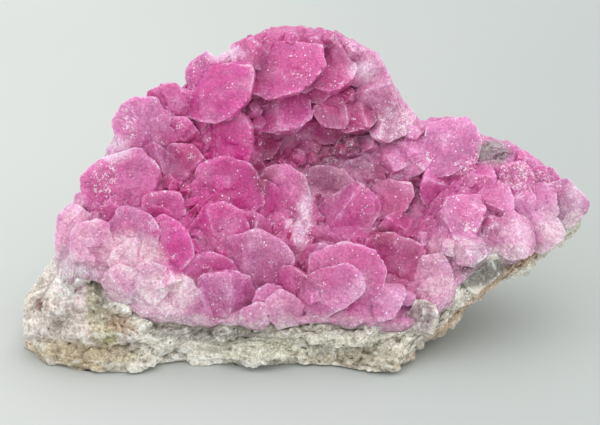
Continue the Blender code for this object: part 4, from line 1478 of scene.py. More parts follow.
@dataclass(frozen=True)
class RockFinish:
    """Granular grey-white rock with stains, dark specks and glassy grains.

    Attributes:
        grain: The size of its grains, in millimetres.
        rough: How rough its surface is.
        grains: The tints of its grains.
        fine: The tints of its finest relief.
        clouds: The tints of its clouds.
        crumbs: The tints of its small crumbs.
        rust: The colour of its rusty spots.
        crease_shade_tint: The tint of the painted shade in its crevices.
        wear_and_edge_highlight: The colour of its broken edges, paler by wear and by a painted highlight.
        specks: Its dark specks.
        reach: How far each colour of the light inside it travels, as shares of the glow.
    """

    grain: float = 0.3
    rough: float = 0.72
    grains: Mottle = Mottle(0.7, (0.76, 0.74, 0.70), (1.25, 1.25, 1.23))
    fine: Mottle = Mottle(0.75, (0.68, 0.66, 0.62), (1.25, 1.25, 1.24))
    clouds: Mottle = Mottle(0.6, (0.82, 0.80, 0.76), (1.15, 1.15, 1.13))
    crumbs: Mottle = Mottle(0.45, (0.58, 0.57, 0.55), (1.36, 1.36, 1.36))
    rust: Colour = (0.42, 0.31, 0.20)
    crease_shade_tint: Colour = (0.38, 0.35, 0.31)
    wear_and_edge_highlight: Colour = (0.92, 0.91, 0.87)
    specks: tuple[Speck, ...] = (
        Speck(0.7, 0.80, (0.09, 0.065, 0.045)),
        Speck(0.4, 0.86, (0.13, 0.11, 0.10)),
    )
    reach: Colour = (1.0, 0.8, 0.7)

    def specked(self, bench: Bench, tone: Socket) -> Socket:
        """The colour with its dark specks.

        Args:
            bench: The material's bench.
            tone: The colour.

        Returns:
            The colour.
        """
        for speck in self.specks:
            cells = bench.cells(speck.size)
            near = bench.range(cells.outputs["Distance"], 0.08, 0.25, 1.0, 0.0)
            some = bench.range(bench.chances(cells)[1], speck.without, speck.without + 0.02, 0.0, 0.8)
            tone = bench.mix(bench.times(near, some), tone, speck.colour)
        return tone

    def material(self) -> bpy.types.Material:
        """Makes the material, which reads the attributes tone, frost and edge.

        Returns:
            The material.
        """
        bench = Bench.named("host_rock")
        frost = bench.read("frost", colour=False)
        pale, lump, glassy = bench.chances(bench.cells(self.grain))
        tone = bench.read("tone")
        for pattern, mottle in (
            (bench.range(pale, 0.0, 1.0), self.grains),
            (bench.range(bench.noise(0.28, 4.0, 0.75), 0.36, 0.64), self.fine),
            (bench.range(bench.noise(1.4, 5.0, 0.65), 0.35, 0.65), self.clouds),
            (bench.chances(bench.cells(0.13))[0], self.crumbs),
        ):
            tone = bench.mottled(tone, pattern, mottle)
        tone = bench.mix(bench.range(bench.noise(0.8, 5.0, 0.7), 0.60, 0.70, 0.0, 0.45), tone, self.rust)
        edge = bench.read("edge", colour=False)
        # Painted shade: crevices, by the attribute edge, are darkened.
        tone = bench.tinted(tone, bench.range(edge, -0.04, -0.22, 0.0, 0.85), self.crease_shade_tint)
        # Paler broken edges with a painted highlight: convex edges, by the attribute edge, are whitened in
        # broken streaks.
        broken = bench.range(bench.noise(0.5, 4.0, 0.7), 0.40, 0.60, 0.0, 0.8)
        tone = bench.mix(bench.times(bench.range(edge, 0.05, 0.20), broken), tone, self.wear_and_edge_highlight)
        bench.feed(bench.shader, "Base Color", self.specked(bench, tone))
        geometry = bench.node("NewGeometry").outputs["Normal"]
        normal = bench.glinting(self.grain, bench.times(frost, 0.8), geometry)
        height = bench.maths("ADD", bench.noise(0.5, 6.0, 0.75), bench.times(lump, 0.4))
        bench.bumped(height, 0.30, 0.9, normal)
        bench.feed(bench.shader, "Roughness", bench.range(glassy, 0.8, 0.9, self.rough, 0.35))
        bench.glowing(0.15, self.reach, 0.4)
        return bench.material


class Stain(NamedTuple):
    """A spot of colour on a surface."""

    patch: Patch
    colour: Colour


def stained(*rows: tuple[tuple[float, ...], Triple]) -> tuple[Stain, ...]:
    """Rows of a patch's numbers and its display colour, as stains."""
    return tuple(Stain(Patch(*place), shade(*colour)) for place, colour in rows)


@dataclass
class HostRock:
    """The host rock: a broken wedge with a flat sole, level ledges and an overhanging arm.

    Attributes:
        form: Its large form.
        chunks: The broken blocks joined to it.
        step: The spacing of its cross-sections.
        counts: Points in each stretch between the section's 21 points.
        relief: How far its fine relief stands in and out.
        dip: How far its beds fall for each millimetre along X.
        bedding: How places are squashed, so that its chips lie as beds.
        beds: The chips of its beds.
        chips: The chips on them.
        crumbs: The smallest chips.
        grit: Its finest relief.
        back_bedding: How places are squashed for the broad chips of its back.
        scallops: Those chips.
        back: Where along Y its back begins to be drawn in.
        back_room: How much further back it may reach.
        block_grid: Rows and columns of points on each block.
        block_relief: How uneven a block is.
        keen: The least angle of its keen edges, in degrees.
        finish: Its material.
        grey: Its general colour.
        shaded_back: How much darker its back is, for each colour.
        stains: Where it is another colour, the later ones over the earlier ones.
    """

    form: RockForm = field(default_factory=RockForm)
    chunks: tuple[Crystal, ...] = CHUNKS
    step: float = 0.24
    counts: tuple[int, ...] = (6, 6, 8, 12, 12, 12, 6) + (4,) * 8 + (6, 18, 18, 18, 18, 8)
    relief: float = 0.28
    dip: float = 0.12
    bedding: Triple = (0.42, 1.0, 1.5)
    beds: Pattern = Pattern(1.2, 1.8, 3.0)
    chips: Pattern = Pattern(1.0, 0.8, 5.0)
    crumbs: Pattern = Pattern(0.5, 0.5, 6.0)
    grit: Pattern = Pattern(0.5, 0.9, 2.0)
    back_bedding: Triple = (0.7, 1.0, 1.0)
    scallops: Pattern = Pattern(2.2, 4.2, 8.0)
    back: float = 14.0
    back_room: float = 1.8
    block_grid: tuple[int, int] = (30, 44)
    block_relief: float = 0.09
    keen: float = 38
    finish: RockFinish = field(default_factory=RockFinish)
    grey: Colour = shade(238, 234, 227)
    shaded_back: Colour = (0.20, 0.22, 0.26)
    stains: tuple[Stain, ...] = stained(
        ((-22.0, 5.0, 6.0, 5.0, 0.6), (206, 186, 188)),
        ((-22.5, 1.2, 6.5, 2.4, 0.8), (198, 182, 152)),
        ((-22.5, 9.5, 2.8, 3.6, 0.95), (255, 232, 243)),
        ((-20.4, 8.4, 1.0, 2.2, 0.7, -14), (164, 158, 128)),
        ((-19.6, 5.0, 1.8, 2.4, 0.55, 20), (178, 172, 136)),
        ((-18.9, 3.4, 0.9, 0.8, 0.8), (180, 180, 138)),
        ((-19.8, 9.0, 0.9, 1.4, 0.8), (62, 60, 58)),
        ((-19.4, 6.8, 0.9, 0.6, 0.7), (70, 62, 52)),
        ((-17.6, 9.0, 1.8, 2.0, 0.7), (186, 160, 168)),
        ((-17.8, 6.6, 1.4, 0.9, 1.0), (250, 242, 236)),
        ((-17.4, 4.6, 2.0, 1.0, 0.5, -20), (196, 160, 130)),
        ((-25.6, 6.6, 0.8, 0.8, 0.8), (128, 84, 70)),
        ((-8.0, 4.0, 7.0, 1.4, 0.7), (160, 157, 156)),
        ((-2.0, 4.2, 12.0, 0.7, 0.6), (150, 146, 134)),
        ((0.0, 2.2, 12.0, 1.4, 0.6), (200, 200, 184)),
        ((6.0, 0.8, 7.0, 1.4, 0.7), (186, 176, 158)),
        ((7.6, 5.1, 1.8, 0.6, 0.9), (150, 104, 86)),
        ((12.0, 5.4, 2.0, 2.0, 0.95), (176, 156, 166)),
        ((15.8, 5.4, 8.0, 0.7, 0.7, 42), (206, 172, 140)),
        ((22.0, 10.8, 3.5, 0.6, 0.7, 30), (198, 168, 140)),
        ((18.2, 9.8, 3.0, 1.3, 0.9, 20), (126, 124, 122)),
    )

    def turns(self) -> Array:
        """Places round the cross-section, closer together where the rock is seen."""
        parts = [index + np.arange(count) / count for index, count in enumerate(self.counts)]
        return np.concatenate(parts)

    def push(self, rings: Array) -> Array:
        """How far chips and noise push each point out; the back has broader and calmer ones.

        Args:
            rings: Places in millimetres.

        Returns:
            One number for each point, in reliefs.
        """
        tilted = rings + self.dip * rings[..., :1] * np.array([0.0, 0.0, 1.0])
        bedded = tilted * np.array(self.bedding)
        push = self.beds.chips(bedded) + self.chips.chips(bedded)
        push += self.crumbs.chips(rings) + self.grit.layered(rings)
        behind = smooth_step(0.0, 8.0, rings[..., 1])
        broad = self.scallops.chips(tilted * np.array(self.back_bedding))
        return push * (1.0 - 0.4 * behind) + behind * broad

    def skin(self) -> tuple[Array, Array]:
        """The rock's skin: its rings, pushed along their normals; the sole and both ends stay.

        Returns:
            The points and the faces.
        """
        first, last = self.form.stations[0].across, self.form.stations[-1].across
        across = np.linspace(first, last, round((last - first) / self.step) + 1)
        rings = self.form.rings(across, self.turns())
        along = np.gradient(rings, axis=0)
        around = np.roll(rings, -1, axis=1) - np.roll(rings, 1, axis=1)
        normal = unit(np.cross(around, along))
        if (normal[:, :, 1] * (rings[:, :, 1] - rings[..., 1].mean())).sum() < 0:
            normal = -normal
        lifted = smooth_step(0.02, 0.5, rings[..., 2])
        fade = smooth_step(0.0, 1.5, np.minimum(across - first, last - across))[:, None] * lifted
        moved = rings + normal * (self.relief * self.push(rings) * fade)[..., None]
        moved[..., 2] = np.where(rings[..., 2] <= 0.02, 0.0, np.maximum(moved[..., 2], 0.0))
        beyond = np.maximum(moved[..., 1] - self.back, 0.0)
        moved[..., 1] += softly_limited(beyond, self.back_room) - beyond
        return closed_rings(moved)

    def block(self, chunk: Crystal) -> tuple[Array, Array]:
        """One broken block, chipped and clear of the floor.

        Args:
            chunk: Its form and place.

        Returns:
            The points and the faces.
        """
        points, faces = crystal_shell(chunk, self.form, *self.block_grid)
        shift = chipped(points, 0.8, 9.0) + layered_noise(points, 0.7, 4.0)
        points = points + unit(points - points.mean(axis=0)) * (self.block_relief * shift)[:, None]
        points[:, 2] = np.maximum(points[:, 2], 0.03)
        return points, faces

    def coloured(self, mesh: bpy.types.Mesh) -> None:
        """Keeps the attributes tone, frost and edge, which the rock's material reads.

        The tone is the general grey in soft clouds, the back shaded, then the stains, then lighter
        and darker flakes and dark cracks. The stains end where the rock turns away behind.

        Args:
            mesh: The rock's mesh.
        """
        points = points_of(mesh)
        bedded = points * np.array(self.bedding)
        wander = layered_noise(points, 1.5, 11.0)
        colour = np.array(self.grey) * (1.0 + 0.16 * layered_noise(points, 3.0, 17.0))[:, None]
        ahead = 1.0 - smooth_step(9.0, 14.0, points[:, 1] + PLANE.origin_back)
        colour = colour * (1.0 - (1.0 - ahead)[:, None] * np.array(self.shaded_back))
        for stain in self.stains:
            colour = blended(colour, stain.patch.weight(points, wander) * ahead, stain.colour)
        flakes = chipped(bedded, 0.9, 29.0)
        crack = smooth_step(0.25, 0.8, layered_noise(points * np.array([0.4, 1, 1.6]), 1.1, 23.0))
        colour = colour * (1.0 + 0.28 * flakes)[:, None] * (1.0 - 0.3 * crack[:, None])
        store(mesh, "tone", np.clip(1.1 * colour, 0.0, 1.0))
        store(mesh, "frost", np.clip(0.35 + 0.5 * wander, 0.0, 1.0))
        store(mesh, "edge", edginess(mesh))

    def build(self) -> bpy.types.Object:
        """Builds the rock, dresses it and puts it in place of its plain solid.

        Returns:
            The finished piece.
        """
        base = mesh_object("host_rock_broken", *self.skin())
        blocks = [
            mesh_object(f"block_{number:02d}", *self.block(chunk))
            for number, chunk in enumerate(self.chunks)
        ]
        rock = dressed(joined(base, blocks, None), self.finish.material(), self.keen)
        self.coloured(rock.data)
        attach(rock, "root")
        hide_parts("matrix")
        return rock


class Zone(NamedTuple):
    """Spots of one colour on the druse, and how much frost they add."""

    colour: Colour
    frost: float
    spots: tuple[Patch, ...]


class Cloud(NamedTuple):
    """Soft clouds of a colour over the druse."""

    pattern: Pattern
    colour: Colour


@dataclass
class CalciteDruse:
    """The pink druse: a sugary crust with every crystal grown together with it.

    Attributes:
        form: The form of the rock beneath it.
        crystals: Its named crystals.
        large: The length from which a named crystal gets the finer grid.
        grids: Rows and columns of points on the finer and on the coarser grid.
        ends: Where the crust begins and ends along the rock.
        step: The spacing of the crust's cross-sections.
        stretch: Points in each stretch between the section's points.
        points: The first and the last of the rock's points that the crust covers.
        thick: How thick the crust is.
        root: How deep it goes into the rock's outline.
        sugar: How far its sugary lumps stand out.
        filled: How high it fills up between the crystals, as a share of how proud they stand.
        profile: Its thickness from below the lip to the crest.
        spacing: How far apart the small crystals are tried.
        rooms: The least room of a small crystal in each round.
        front: Where along Y its front begins to be drawn in.
        front_room: How much further forward it may reach.
        keen: The least angle of its keen edges, in degrees.
        finish: Its material.
        claim: How far out a crystal's looks reach, in shares of the way to its skin.
        face_tint: How much its faces differ from each other, for each colour.
        thin_edge_glow: The colour of the painted glow along the thin edges, as of light shining through
            them.
        low_tint: The colour along the lip, where it meets the rock.
        clouds: Clouds of colour over it.
        bare: Where it has no small crystals.
        swells: Where it is thicker between the crystals, by the amount in millimetres.
        sparkling: Where its faces glitter.
        zones: Where it is another colour, the later ones over the earlier ones; the last is painted shade.
    """

    form: RockForm = field(default_factory=RockForm)
    crystals: tuple[Crystal, ...] = CRYSTALS
    large: float = 6.0
    grids: tuple[tuple[int, int], ...] = ((32, 48), (26, 38))
    ends: tuple[float, float] = (-24.2, 27.4)
    step: float = 0.30
    stretch: int = 11
    points: tuple[int, int] = (6, 16)
    thick: float = 1.6
    root: float = 0.9
    sugar: float = 0.36
    filled: float = 1.16
    profile: tuple[float, ...] = (0.05, 0.38, 0.8, 1.0, 1.0, 1.0, 1.0, 1.0, 0.9, 0.7, 0.45)
    spacing: float = 1.1
    rooms: tuple[float, ...] = (2.0, 1.5, 1.1, 0.8)
    front: float = -11.0
    front_room: float = 0.9
    keen: float = 36
    finish: CalciteFinish = field(default_factory=CalciteFinish)
    claim: float = 1.06
    face_tint: Colour = (0.22, 0.50, 0.28)
    thin_edge_glow: Colour = shade(238, 176, 210)
    low_tint: Colour = shade(208, 188, 188)
    clouds: tuple[Cloud, ...] = (
        Cloud(Pattern(0.34, 2.4, 47.0), shade(232, 184, 210)),
        Cloud(Pattern(0.45, 2.8, 53.0), shade(206, 84, 146)),
        Cloud(Pattern(0.40, 1.8, 59.0), shade(196, 146, 174)),
    )
    bare: tuple[Patch, ...] = patches(
        (-24.2, 9.5, 2.8, 3.6),
        (19.4, 21.8, 2.0, 1.5),
        (19.0, 10.6, 4.0, 1.2),
        (-14.0, 7.6, 3.4, 2.4),
        (-7.6, 32.0, 2.6, 1.6),
        (21.6, 22.3, 1.8, 1.5),
    )
    swells: tuple[Patch, ...] = patches(
        (-14.5, 11.2, 5.0, 2.6, 0.5),
        (-5.0, 8.6, 5.0, 2.2, 0.6),
        (15.0, 11.4, 4.0, 2.6, 0.7),
    )
    sparkling: tuple[Patch, ...] = patches(
        (-17.0, 24.4, 1.1, 2.4),
        (-19.4, 18.6, 1.6, 3.4, 1.0, -12),
        (-12.0, 24.5, 0.9, 0.7),
        (-11.0, 21.2, 0.6, 0.6),
        (-13.2, 17.7, 0.6, 0.5),
        (-15.0, 14.5, 1.5, 0.5, 1.0, 20),
        (-12.8, 11.4, 1.0, 0.6),
        (-9.2, 9.8, 0.7, 1.0),
        (-0.2, 29.4, 2.6, 1.6, 0.6),
        (6.5, 30.0, 1.8, 1.0),
        (9.0, 25.6, 1.6, 1.8),
        (12.8, 21.2, 0.9, 1.4),
        (16.6, 20.4, 1.6, 0.8, 1.0, -10),
        (17.4, 22.6, 0.4, 0.5),
        (16.9, 14.4, 1.6, 1.0, 1.0, -35),
        (21.4, 19.2, 1.8, 1.8),
        (24.2, 19.2, 1.6, 1.0, 1.0, -15),
        (0.4, 14.8, 0.9, 3.4, 1.0, -8),
        (-17.4, 22.4, 1.0, 1.0),
        (-8.0, 32.0, 2.0, 0.8),
    )
    zones: tuple[Zone, ...] = (
        # Nearly white
        Zone(shade(240, 216, 228), 0.3, patches(
            (-18.3, 22.0, 1.6, 1.4, 0.9),
            (-7.6, 31.7, 2.2, 1.0, 0.9),
            (0.2, 14.8, 0.9, 3.4, 0.8, -8),
            (6.5, 30.0, 1.8, 1.2, 0.8),
            (21.5, 13.2, 1.8, 2.2, 0.35),
            (27.6, 17.6, 0.9, 2.4, 0.5),
            (6.0, 8.4, 1.2, 1.8, 0.35, -30),
        )),
        # Creamy white
        Zone(shade(243, 219, 219), 0.3, patches(
            (-16.5, 11.5, 3.2, 2.6, 0.8),
            (-13.5, 7.6, 4.0, 2.4, 0.8),
            (15.0, 12.0, 2.6, 1.4, 0.5),
            (13.8, 8.4, 2.4, 1.0, 0.5, 25),
        )),
        # Greyish mauve
        Zone(shade(174, 120, 142), 0.2, patches(
            (2.6, 19.2, 2.8, 2.6, 0.7),
            (6.4, 19.8, 1.6, 2.0, 0.6),
            (3.6, 22.2, 2.6, 1.8, 0.5),
            (9.2, 24.6, 1.8, 2.2, 0.5),
            (-3.8, 30.2, 1.6, 2.2, 0.35),
        )),
        # Blending into the rock
        Zone(shade(212, 196, 197), 0.2, patches(
            (-23.8, 10.2, 2.2, 2.4, 0.8),
            (-18.4, 7.0, 2.6, 1.2, 0.7),
            (-12.5, 4.9, 4.6, 0.9, 0.8),
            (-5.0, 4.4, 4.0, 0.6, 0.8),
            (3.0, 4.2, 6.0, 0.5, 0.8),
            (20.0, 11.6, 3.0, 0.8, 0.6, 20),
            (16.6, 11.6, 3.4, 1.3, 0.5),
            (26.2, 14.6, 2.4, 2.4, 0.5),
        )),
        # As grey as the rock
        Zone(shade(158, 146, 144), 0.1, patches(
            (19.4, 21.8, 2.0, 1.5),
            (18.6, 10.4, 3.4, 0.9, 0.9, 12),
        )),
        # Painted shade: dark plum in the hollow and the deep gaps
        Zone(shade(158, 60, 104), 0.0, patches(
            (-1.8, 22.0, 2.4, 1.6, 0.6),
            (3.6, 22.4, 3.4, 1.6, 0.6),
            (-3.7, 19.4, 1.3, 2.2, 0.9, -10),
            (8.2, 19.8, 1.2, 1.2, 0.5),
            (8.2, 13.3, 1.8, 1.2, 0.75),
            (0.4, 9.2, 1.4, 1.6, 0.35),
        )),
    )

    def around(self, points: Array) -> tuple[Array, Array]:
        """What the crystals round a place are like: each counts by exp of minus its distance squared.

        Args:
            points: Places in millimetres.

        Returns:
            How proud the crystals stand there, and their colour.
        """
        across, up = PLANE.flattened(points)
        total = np.full(across.shape, 1e-6)
        proud = 0.6 * total
        colour = total[..., None] * np.array(shade(*DUSTY.value))
        for crystal in self.crystals:
            away = (across - crystal.across) ** 2 + (up - crystal.up) ** 2
            weight = crystal.width * np.exp(-away / (0.42 * crystal.length) ** 2)
            total = total + weight
            proud = proud + weight * crystal.proud
            colour = colour + weight[..., None] * np.array(shade(*crystal.tone.value))
        return proud / total, colour / total[..., None]

    def ground(self, points: Array) -> Array:
        """How far the mass between the crystals stands out from the rock's growth face.

        It fills up to a share of how proud the crystals round it stand, and swells in places.

        Args:
            points: Places in millimetres.

        Returns:
            A height in millimetres for each point.
        """
        height = np.maximum(self.around(points)[0] * self.filled, self.thick)
        return height + sum(patch.weight(points, 0.0) for patch in self.swells)

    def lumps(self, points: Array) -> Array:
        """The crust's sugary lumps, of chips in two sizes and soft noise."""
        lumps = 0.9 * chipped(points, 1.3, 31.0) + 0.6 * chipped(points, 0.6, 33.0)
        return (lumps + 0.4 * soft_noise(points, 0.5, 35.0))[..., None]

    def crust(self) -> tuple[Array, Array]:
        """The crust: the rock's rings, from point to point as it covers them, offset out and in.

        It tapers towards both ends, and its lumps are calmer there and below the lip.

        Returns:
            The points and the faces.
        """
        places = np.linspace(*self.ends, round((self.ends[1] - self.ends[0]) / self.step) + 1)
        reach = np.minimum(places - self.ends[0], self.ends[1] - places)
        taper = np.minimum(1.0, 0.5 + 0.25 * reach / 1.6)[:, None, None]
        first, last = self.points
        turn = np.linspace(first, last, (last - first) * self.stretch + 1)
        rings = self.form.rings(places, turn)
        along = self.form.rings(places, turn + 0.5) - self.form.rings(places, turn - 0.5)
        along[..., 0] = 0.0
        normal = unit(np.stack([along[..., 0], -along[..., 2], along[..., 1]], axis=-1))
        share = np.interp(turn - first, np.arange(len(self.profile)), self.profile)[None, :, None]
        ground = (self.ground(rings) - self.thick)[..., None]
        full = smooth_step(0.6, 1.0, share)
        outer = rings + normal * (self.thick * share * taper + ground * full * taper)
        inner = rings - normal * self.root * share**2 * taper
        calm = smooth_step(0.20, 0.75, share) * smooth_step(0.0, 2.0, reach)[:, None, None]
        spread = np.linalg.norm(along, axis=-1, keepdims=True) / self.stretch
        calm = calm * smooth_step(0.0, 0.26, spread)
        outer = outer + normal * self.sugar * (0.55 + 0.45 * calm) * self.lumps(outer)
        return closed_rings(np.concatenate([outer, inner[:, ::-1]], axis=1))

    def rise(self, across: float, up: float) -> float:
        """How far the mass stands out at one place, in millimetres."""
        back, z = self.form.growth_at(across, up)
        return float(self.ground(PLANE.placed(across, back, z)[None])[0])

    def gaps(self, rng: np.random.Generator) -> list[tuple[float, float]]:
        """Places on a jittered grid over the growth face, but for the bare spots.

        Args:
            rng: Where the jitter is drawn from.

        Returns:
            Across and up of each place.
        """
        found = []
        for across in np.arange(self.ends[0] + 0.5, self.ends[1] - 0.3, self.spacing):
            station = Station(*self.form.section(np.array([across]))[0])
            for up in np.arange(station.lip_up + 2.3, station.rim_up + 0.5, self.spacing):
                if not any(patch.covers(across, up) for patch in self.bare):
                    found.append((across + rng.uniform(-0.4, 0.4), up + rng.uniform(-0.4, 0.4)))
        return found

    def infill(self) -> list[Crystal]:
        """Smaller crystals in the gaps, the largest gaps first.

        A place gets a crystal where its room, the least distance to any other crystal less 0.3 of
        that one's width, is enough. The crystal is 1.9 times its room long, and it stands out and
        points as its neighbours do on average, with a little turn of its own.

        Returns:
            The smaller crystals.
        """
        rng = np.random.default_rng(11)
        gaps = self.gaps(rng)
        grown = list(self.crystals)
        for least, (x, y) in itertools.product(self.rooms, gaps):
            across, up, _, width, aims, toward = np.array([crystal[:6] for crystal in grown]).T
            away = np.hypot(across - x, up - y)
            room = (away - 0.30 * width).min()
            if room < least:
                continue
            length = min(4.6, 1.9 * room)
            weight = np.exp(-away / 1.6)
            aims = np.radians(aims)
            aim = math.atan2((weight * np.sin(aims)).sum(), (weight * np.cos(aims)).sum())
            toward = (weight * toward).sum() / weight.sum() + rng.uniform(6, 38)
            proud = self.rise(x, y) - 0.12 * length + rng.uniform(-0.1, 0.3)
            like = grown[int(away.argmin())]
            wide = length * rng.uniform(0.68, 0.9)
            aim = math.degrees(aim) + rng.uniform(-35, 35)
            roll = rng.uniform(-60, 60)
            form = CORNER if rng.uniform() < 0.55 else WEDGE
            frost = min(1.0, like.frost + rng.uniform(-0.1, 0.3))
            grown.append(Crystal(x, y, length, wide, aim, toward, proud, 0.9, roll, form, like.tone, frost))
        return grown[len(self.crystals):]

    def cutter(self) -> tuple[Array, Array]:
        """The rock's outline, drawn in a little, which trims what would come out behind it.

        Returns:
            The points and the faces.
        """
        first, last = self.form.stations[0].across, self.form.stations[-1].across
        rings = self.form.rings(np.linspace(first + 0.4, last - 0.4, 36))
        middle = rings.mean(axis=1, keepdims=True)
        return closed_rings(rings - unit(rings - middle) * 0.35)

    def grown(self, points: Array, crystals: list[Crystal]) -> tuple[Array, Array, Array]:
        """What each point has from the crystal whose faces it is nearest to.

        Its colour is the crystal's tone, a little different on each face and blended across the
        edges, like the ground towards the root and lighter along thin edges near the tip, a painted
        glow of light through them. A point that no crystal reaches has the ground's colour.

        Args:
            points: Places in millimetres.
            crystals: Every crystal of the druse.

        Returns:
            A colour, the frost, and the zone, which is 1 on an edge and less inside a face.
        """
        ground = self.around(points)[1]
        colour, level = ground.copy(), np.full(len(points), self.claim)
        frost, zone, tip = (np.full(len(points), value) for value in (0.5, 0.5, 0.0))
        for crystal in crystals:
            matrix, middle = crystal.pose(self.form)
            near = np.flatnonzero(((points - middle) ** 2).sum(-1) < (0.75 * crystal.length) ** 2)
            own = (points[near] - middle) @ np.linalg.inv(matrix).T
            away = np.linalg.norm(own, axis=1)
            reaches = crystal.reach(own / away[:, None])
            order = np.argsort(reaches, axis=1)[:, :2]
            nearest, second = np.take_along_axis(reaches, order, axis=1).T
            found = away / (SWELL * nearest)
            closer = found < level[near]
            mine = near[closer]
            level[mine] = found[closer]
            tip[mine] = own[closer, 2] / crystal.length
            zone[mine] = (nearest / second)[closer]
            other = 0.5 * smooth_step(0.94, 1.0, zone[mine])
            shares = np.stack([1 - other, other], axis=1)
            tint, rime = (
                (lots[order[closer]] * shares).sum(axis=1)
                for lots in (crystal.lots(71.0) - 0.5, crystal.lots(73.0))
            )
            frost[mine] = 0.08 + crystal.frost * (0.3 + 0.8 * rime)
            tint = 1.0 + tint[:, None] * np.array(self.face_tint)
            colour[mine] = np.array(shade(*crystal.tone.value)) * tint
        colour = blended(colour, 0.25 + 0.5 * smooth_step(-0.2, 0.25, -tip), ground)
        # Painted light: thin edges near the tip are lightened, as if light shone through them.
        thin = smooth_step(0.72, 1.0, zone) ** 1.5 * smooth_step(-0.25, 0.15, tip)
        return blended(colour, 0.24 * thin, self.thin_edge_glow), frost, zone

    def coloured(self, mesh: bpy.types.Mesh, crystals: list[Crystal]) -> None:
        """Keeps the attributes tone, frost, rim, zone and edge, which the druse's material reads.

        The crystals' own colours are overlaid by the clouds, then by the zones in their order, then
        by the colour of the lip.

        Args:
            mesh: The druse's mesh.
            crystals: Every crystal joined to it.
        """
        points = points_of(mesh)
        wander = layered_noise(points, 1.2, 41.0)
        colour, frost, band = self.grown(points, crystals)
        for (strength, size, seed), tint in self.clouds:
            cloud = strength * smooth_step(0.0, 0.7, layered_noise(points, size, seed))
            colour = blended(colour, cloud, tint)
        for zone in self.zones:
            for spot in zone.spots:
                weight = spot.weight(points, wander)
                frost = frost + zone.frost * weight
                colour = blended(colour, weight, zone.colour)
        across, up = PLANE.flattened(points)
        above = up - self.form.section(across)[:, 4] + 0.8 * wander
        colour = blended(colour, 0.6 * (1.0 - smooth_step(-0.2, 1.1, above)), self.low_tint)
        for patch in self.sparkling:
            frost = np.maximum(frost, patch.weight(points, wander))
        store(mesh, "tone", np.clip(colour, 0.0, 1.0))
        store(mesh, "frost", np.clip(0.85 * frost + 0.35 * wander, 0.0, 1.0))
        # rim: where the material paints a highlight along the edges
        store(mesh, "rim", smooth_step(0.93, 1.0, band))
        store(mesh, "zone", band)
        store(mesh, "edge", edginess(mesh))

    def shells(self, small: list[Crystal]) -> list[bpy.types.Object]:
        """The crystals' closed shells, the larger ones on finer grids.

        Args:
            small: The crystals in the gaps.

        Returns:
            An object for each crystal.
        """
        grids = [self.grids[0 if crystal.length > self.large else 1] for crystal in self.crystals]
        names = [f"crystal_{number:03d}" for number in range(len(grids))]
        for number, crystal in enumerate(small):
            fine = 8 + round(4 * crystal.length)
            grids.append((fine, round(1.5 * fine)))
            names.append(f"small_{number:03d}")
        every = zip(names, [*self.crystals, *small], grids)
        return [
            mesh_object(name, *crystal_shell(crystal, self.form, *grid)) for name, crystal, grid in every
        ]

    def build(self) -> bpy.types.Object:
        """Builds the druse, dresses it and puts it in place of its plain solid.

        Returns:
            The finished piece.
        """
        base = mesh_object("calcite_crystals", *self.crust())
        small = self.infill()
        LOG.info("druse: %d large and %d small crystals", len(self.crystals), len(small))
        druse = joined(base, self.shells(small), mesh_object("behind", *self.cutter()))
        points = points_of(druse.data)
        beyond = np.maximum(self.front - points[:, 1], 0.0)
        points[:, 1] += beyond - softly_limited(beyond, self.front_room)
        put_points(druse.data, points)
        druse.data.update()
        dressed(druse, self.finish.material(), self.keen)
        self.coloured(druse.data, [*self.crystals, *small])
        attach(druse, "root")
        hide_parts("calcite_druse")
        return druse


class Lamp(NamedTuple):
    """A soft square lamp: its place and side in metres, and its power in watts."""

    name: str
    place: Triple
    power: float
    side: float


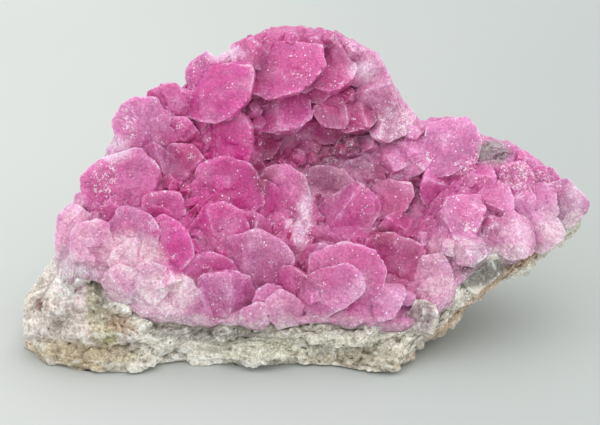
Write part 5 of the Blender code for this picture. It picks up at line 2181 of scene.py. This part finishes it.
@dataclass
class Studio:
    """A pale floor, soft light from above and a camera that looks down the face.

    Attributes:
        distance: From the camera to the middle of the view, in metres.
        field: The width of the view there, in metres.
        aim: How far back and up the face plane the camera looks, in millimetres.
        floor_side: The side of the floor, in metres.
        floor_drop: How far below the specimen it lies, in millimetres.
        floor_points: Points along each side of it.
        floor_painted_shade_tones: Its colours on the left and on the right, darker to the right as painted
            shade.
        drift: The tint that its colour drifts to.
        lamps: The lamps.
        sky: The colour of the light from all round.
    """

    distance: float = 0.6
    field: float = 0.060
    aim: tuple[float, float] = (11.0, 15.75)
    floor_side: float = 3.0
    floor_drop: float = 0.04
    floor_points: int = 25
    floor_painted_shade_tones: tuple[Colour, Colour] = (shade(199, 201, 199), shade(177, 181, 179))
    drift: Colour = (0.97, 0.98, 0.98)
    lamps: tuple[Lamp, ...] = (
        Lamp("key", (0.24, 0.22, 0.56), 2.5, 1.00),
        Lamp("fill", (-0.20, -0.46, 0.50), 1.9, 1.00),
    )
    sky: Colour = (0.88, 0.90, 0.895)

    @property
    def middle(self) -> Vector:
        """The place that the camera looks at."""
        back, up = self.aim
        return Vector(PLANE.placed(0.0, back, PLANE.height(up, back)) * MM)

    def floor(self) -> bpy.types.Object:
        """The floor, one pale sheet whose colour drifts a little, darker to the right as painted shade.

        Returns:
            The floor.
        """
        count = self.floor_points
        side = np.linspace(-0.5, 0.5, count) * self.floor_side / MM
        x, y = np.meshgrid(side, side, indexing="ij")
        points = np.stack([x, y, 0 * x - self.floor_drop], axis=-1).reshape(-1, 3)
        row, column = np.meshgrid(np.arange(count - 1), np.arange(count - 1), indexing="ij")
        a = (row * count + column).ravel()
        b, c, d = a + count, a + count + 1, a + 1
        faces = np.concatenate([np.stack([a, b, c], -1), np.stack([a, c, d], -1)])
        sheet = mesh_object("floor", points, faces)
        bench = Bench.named("pale_sheet")
        drift = bench.range(bench.noise(60.0, 2.0), 0.35, 0.65)
        across = bench.node("SeparateXYZ", Vector=bench.place()).outputs[0]
        # Painted shade: the floor darkens from left to right.
        colour = bench.mix(bench.range(across, -0.04, 0.05), *self.floor_painted_shade_tones)
        bench.feed(bench.shader, "Base Color", bench.tinted(colour, drift, self.drift))
        bench.feed(bench.shader, "Roughness", 0.8)
        sheet.data.materials.append(bench.material)
        return sheet

    def lamp(self, kind: Lamp) -> bpy.types.Object:
        """A lamp that faces the specimen.

        Args:
            kind: Its name, place, power and side.

        Returns:
            The lamp.
        """
        data = bpy.data.lights.new(kind.name, "AREA")
        data.energy, data.size = kind.power, kind.side
        lamp = bpy.data.objects.new(kind.name, data)
        lamp.location = kind.place
        lamp.rotation_euler = (self.middle - lamp.location).to_track_quat("-Z", "Y").to_euler()
        bpy.context.scene.collection.objects.link(lamp)
        return lamp

    def camera(self) -> bpy.types.Object:
        """The camera: it looks down at the face by as much as the face leans back.

        Returns:
            The camera.
        """
        view = Vector((0, math.cos(PLANE.lean), -math.sin(PLANE.lean)))
        data = bpy.data.cameras.new("camera")
        data.sensor_width = 36.0
        data.lens = data.sensor_width * self.distance / self.field
        data.clip_start, data.clip_end = 0.01, 20.0
        camera = bpy.data.objects.new("camera", data)
        camera.location = self.middle - view * self.distance
        camera.rotation_euler = view.to_track_quat("-Z", "Y").to_euler()
        bpy.context.scene.collection.objects.link(camera)
        bpy.context.scene.camera = camera
        return camera

    def build(self) -> None:
        """Sets up the floor, the lamps, the surrounding light and the camera."""
        self.floor()
        for kind in self.lamps:
            self.lamp(kind)
        world = bpy.data.worlds.new("soft_room")
        world.use_nodes = True
        sky = world.node_tree.nodes["Background"]
        sky.inputs["Color"].default_value = (*self.sky, 1.0)
        sky.inputs["Strength"].default_value = 1.0
        bpy.context.scene.world = world
        bpy.context.scene.view_settings.view_transform = "Standard"
        self.camera()


def main() -> None:
    """Builds the specimen's pieces and its studio in order, and reports each."""
    logging.basicConfig(level=logging.INFO, format="%(name)s: %(message)s")
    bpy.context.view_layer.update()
    for sub_assembly in (HostRock(), CalciteDruse()):
        piece = sub_assembly.build()
        LOG.info("%s: %d faces", piece.name, len(piece.data.polygons))
    Studio().build()


if __name__ == "__main__":
    main()
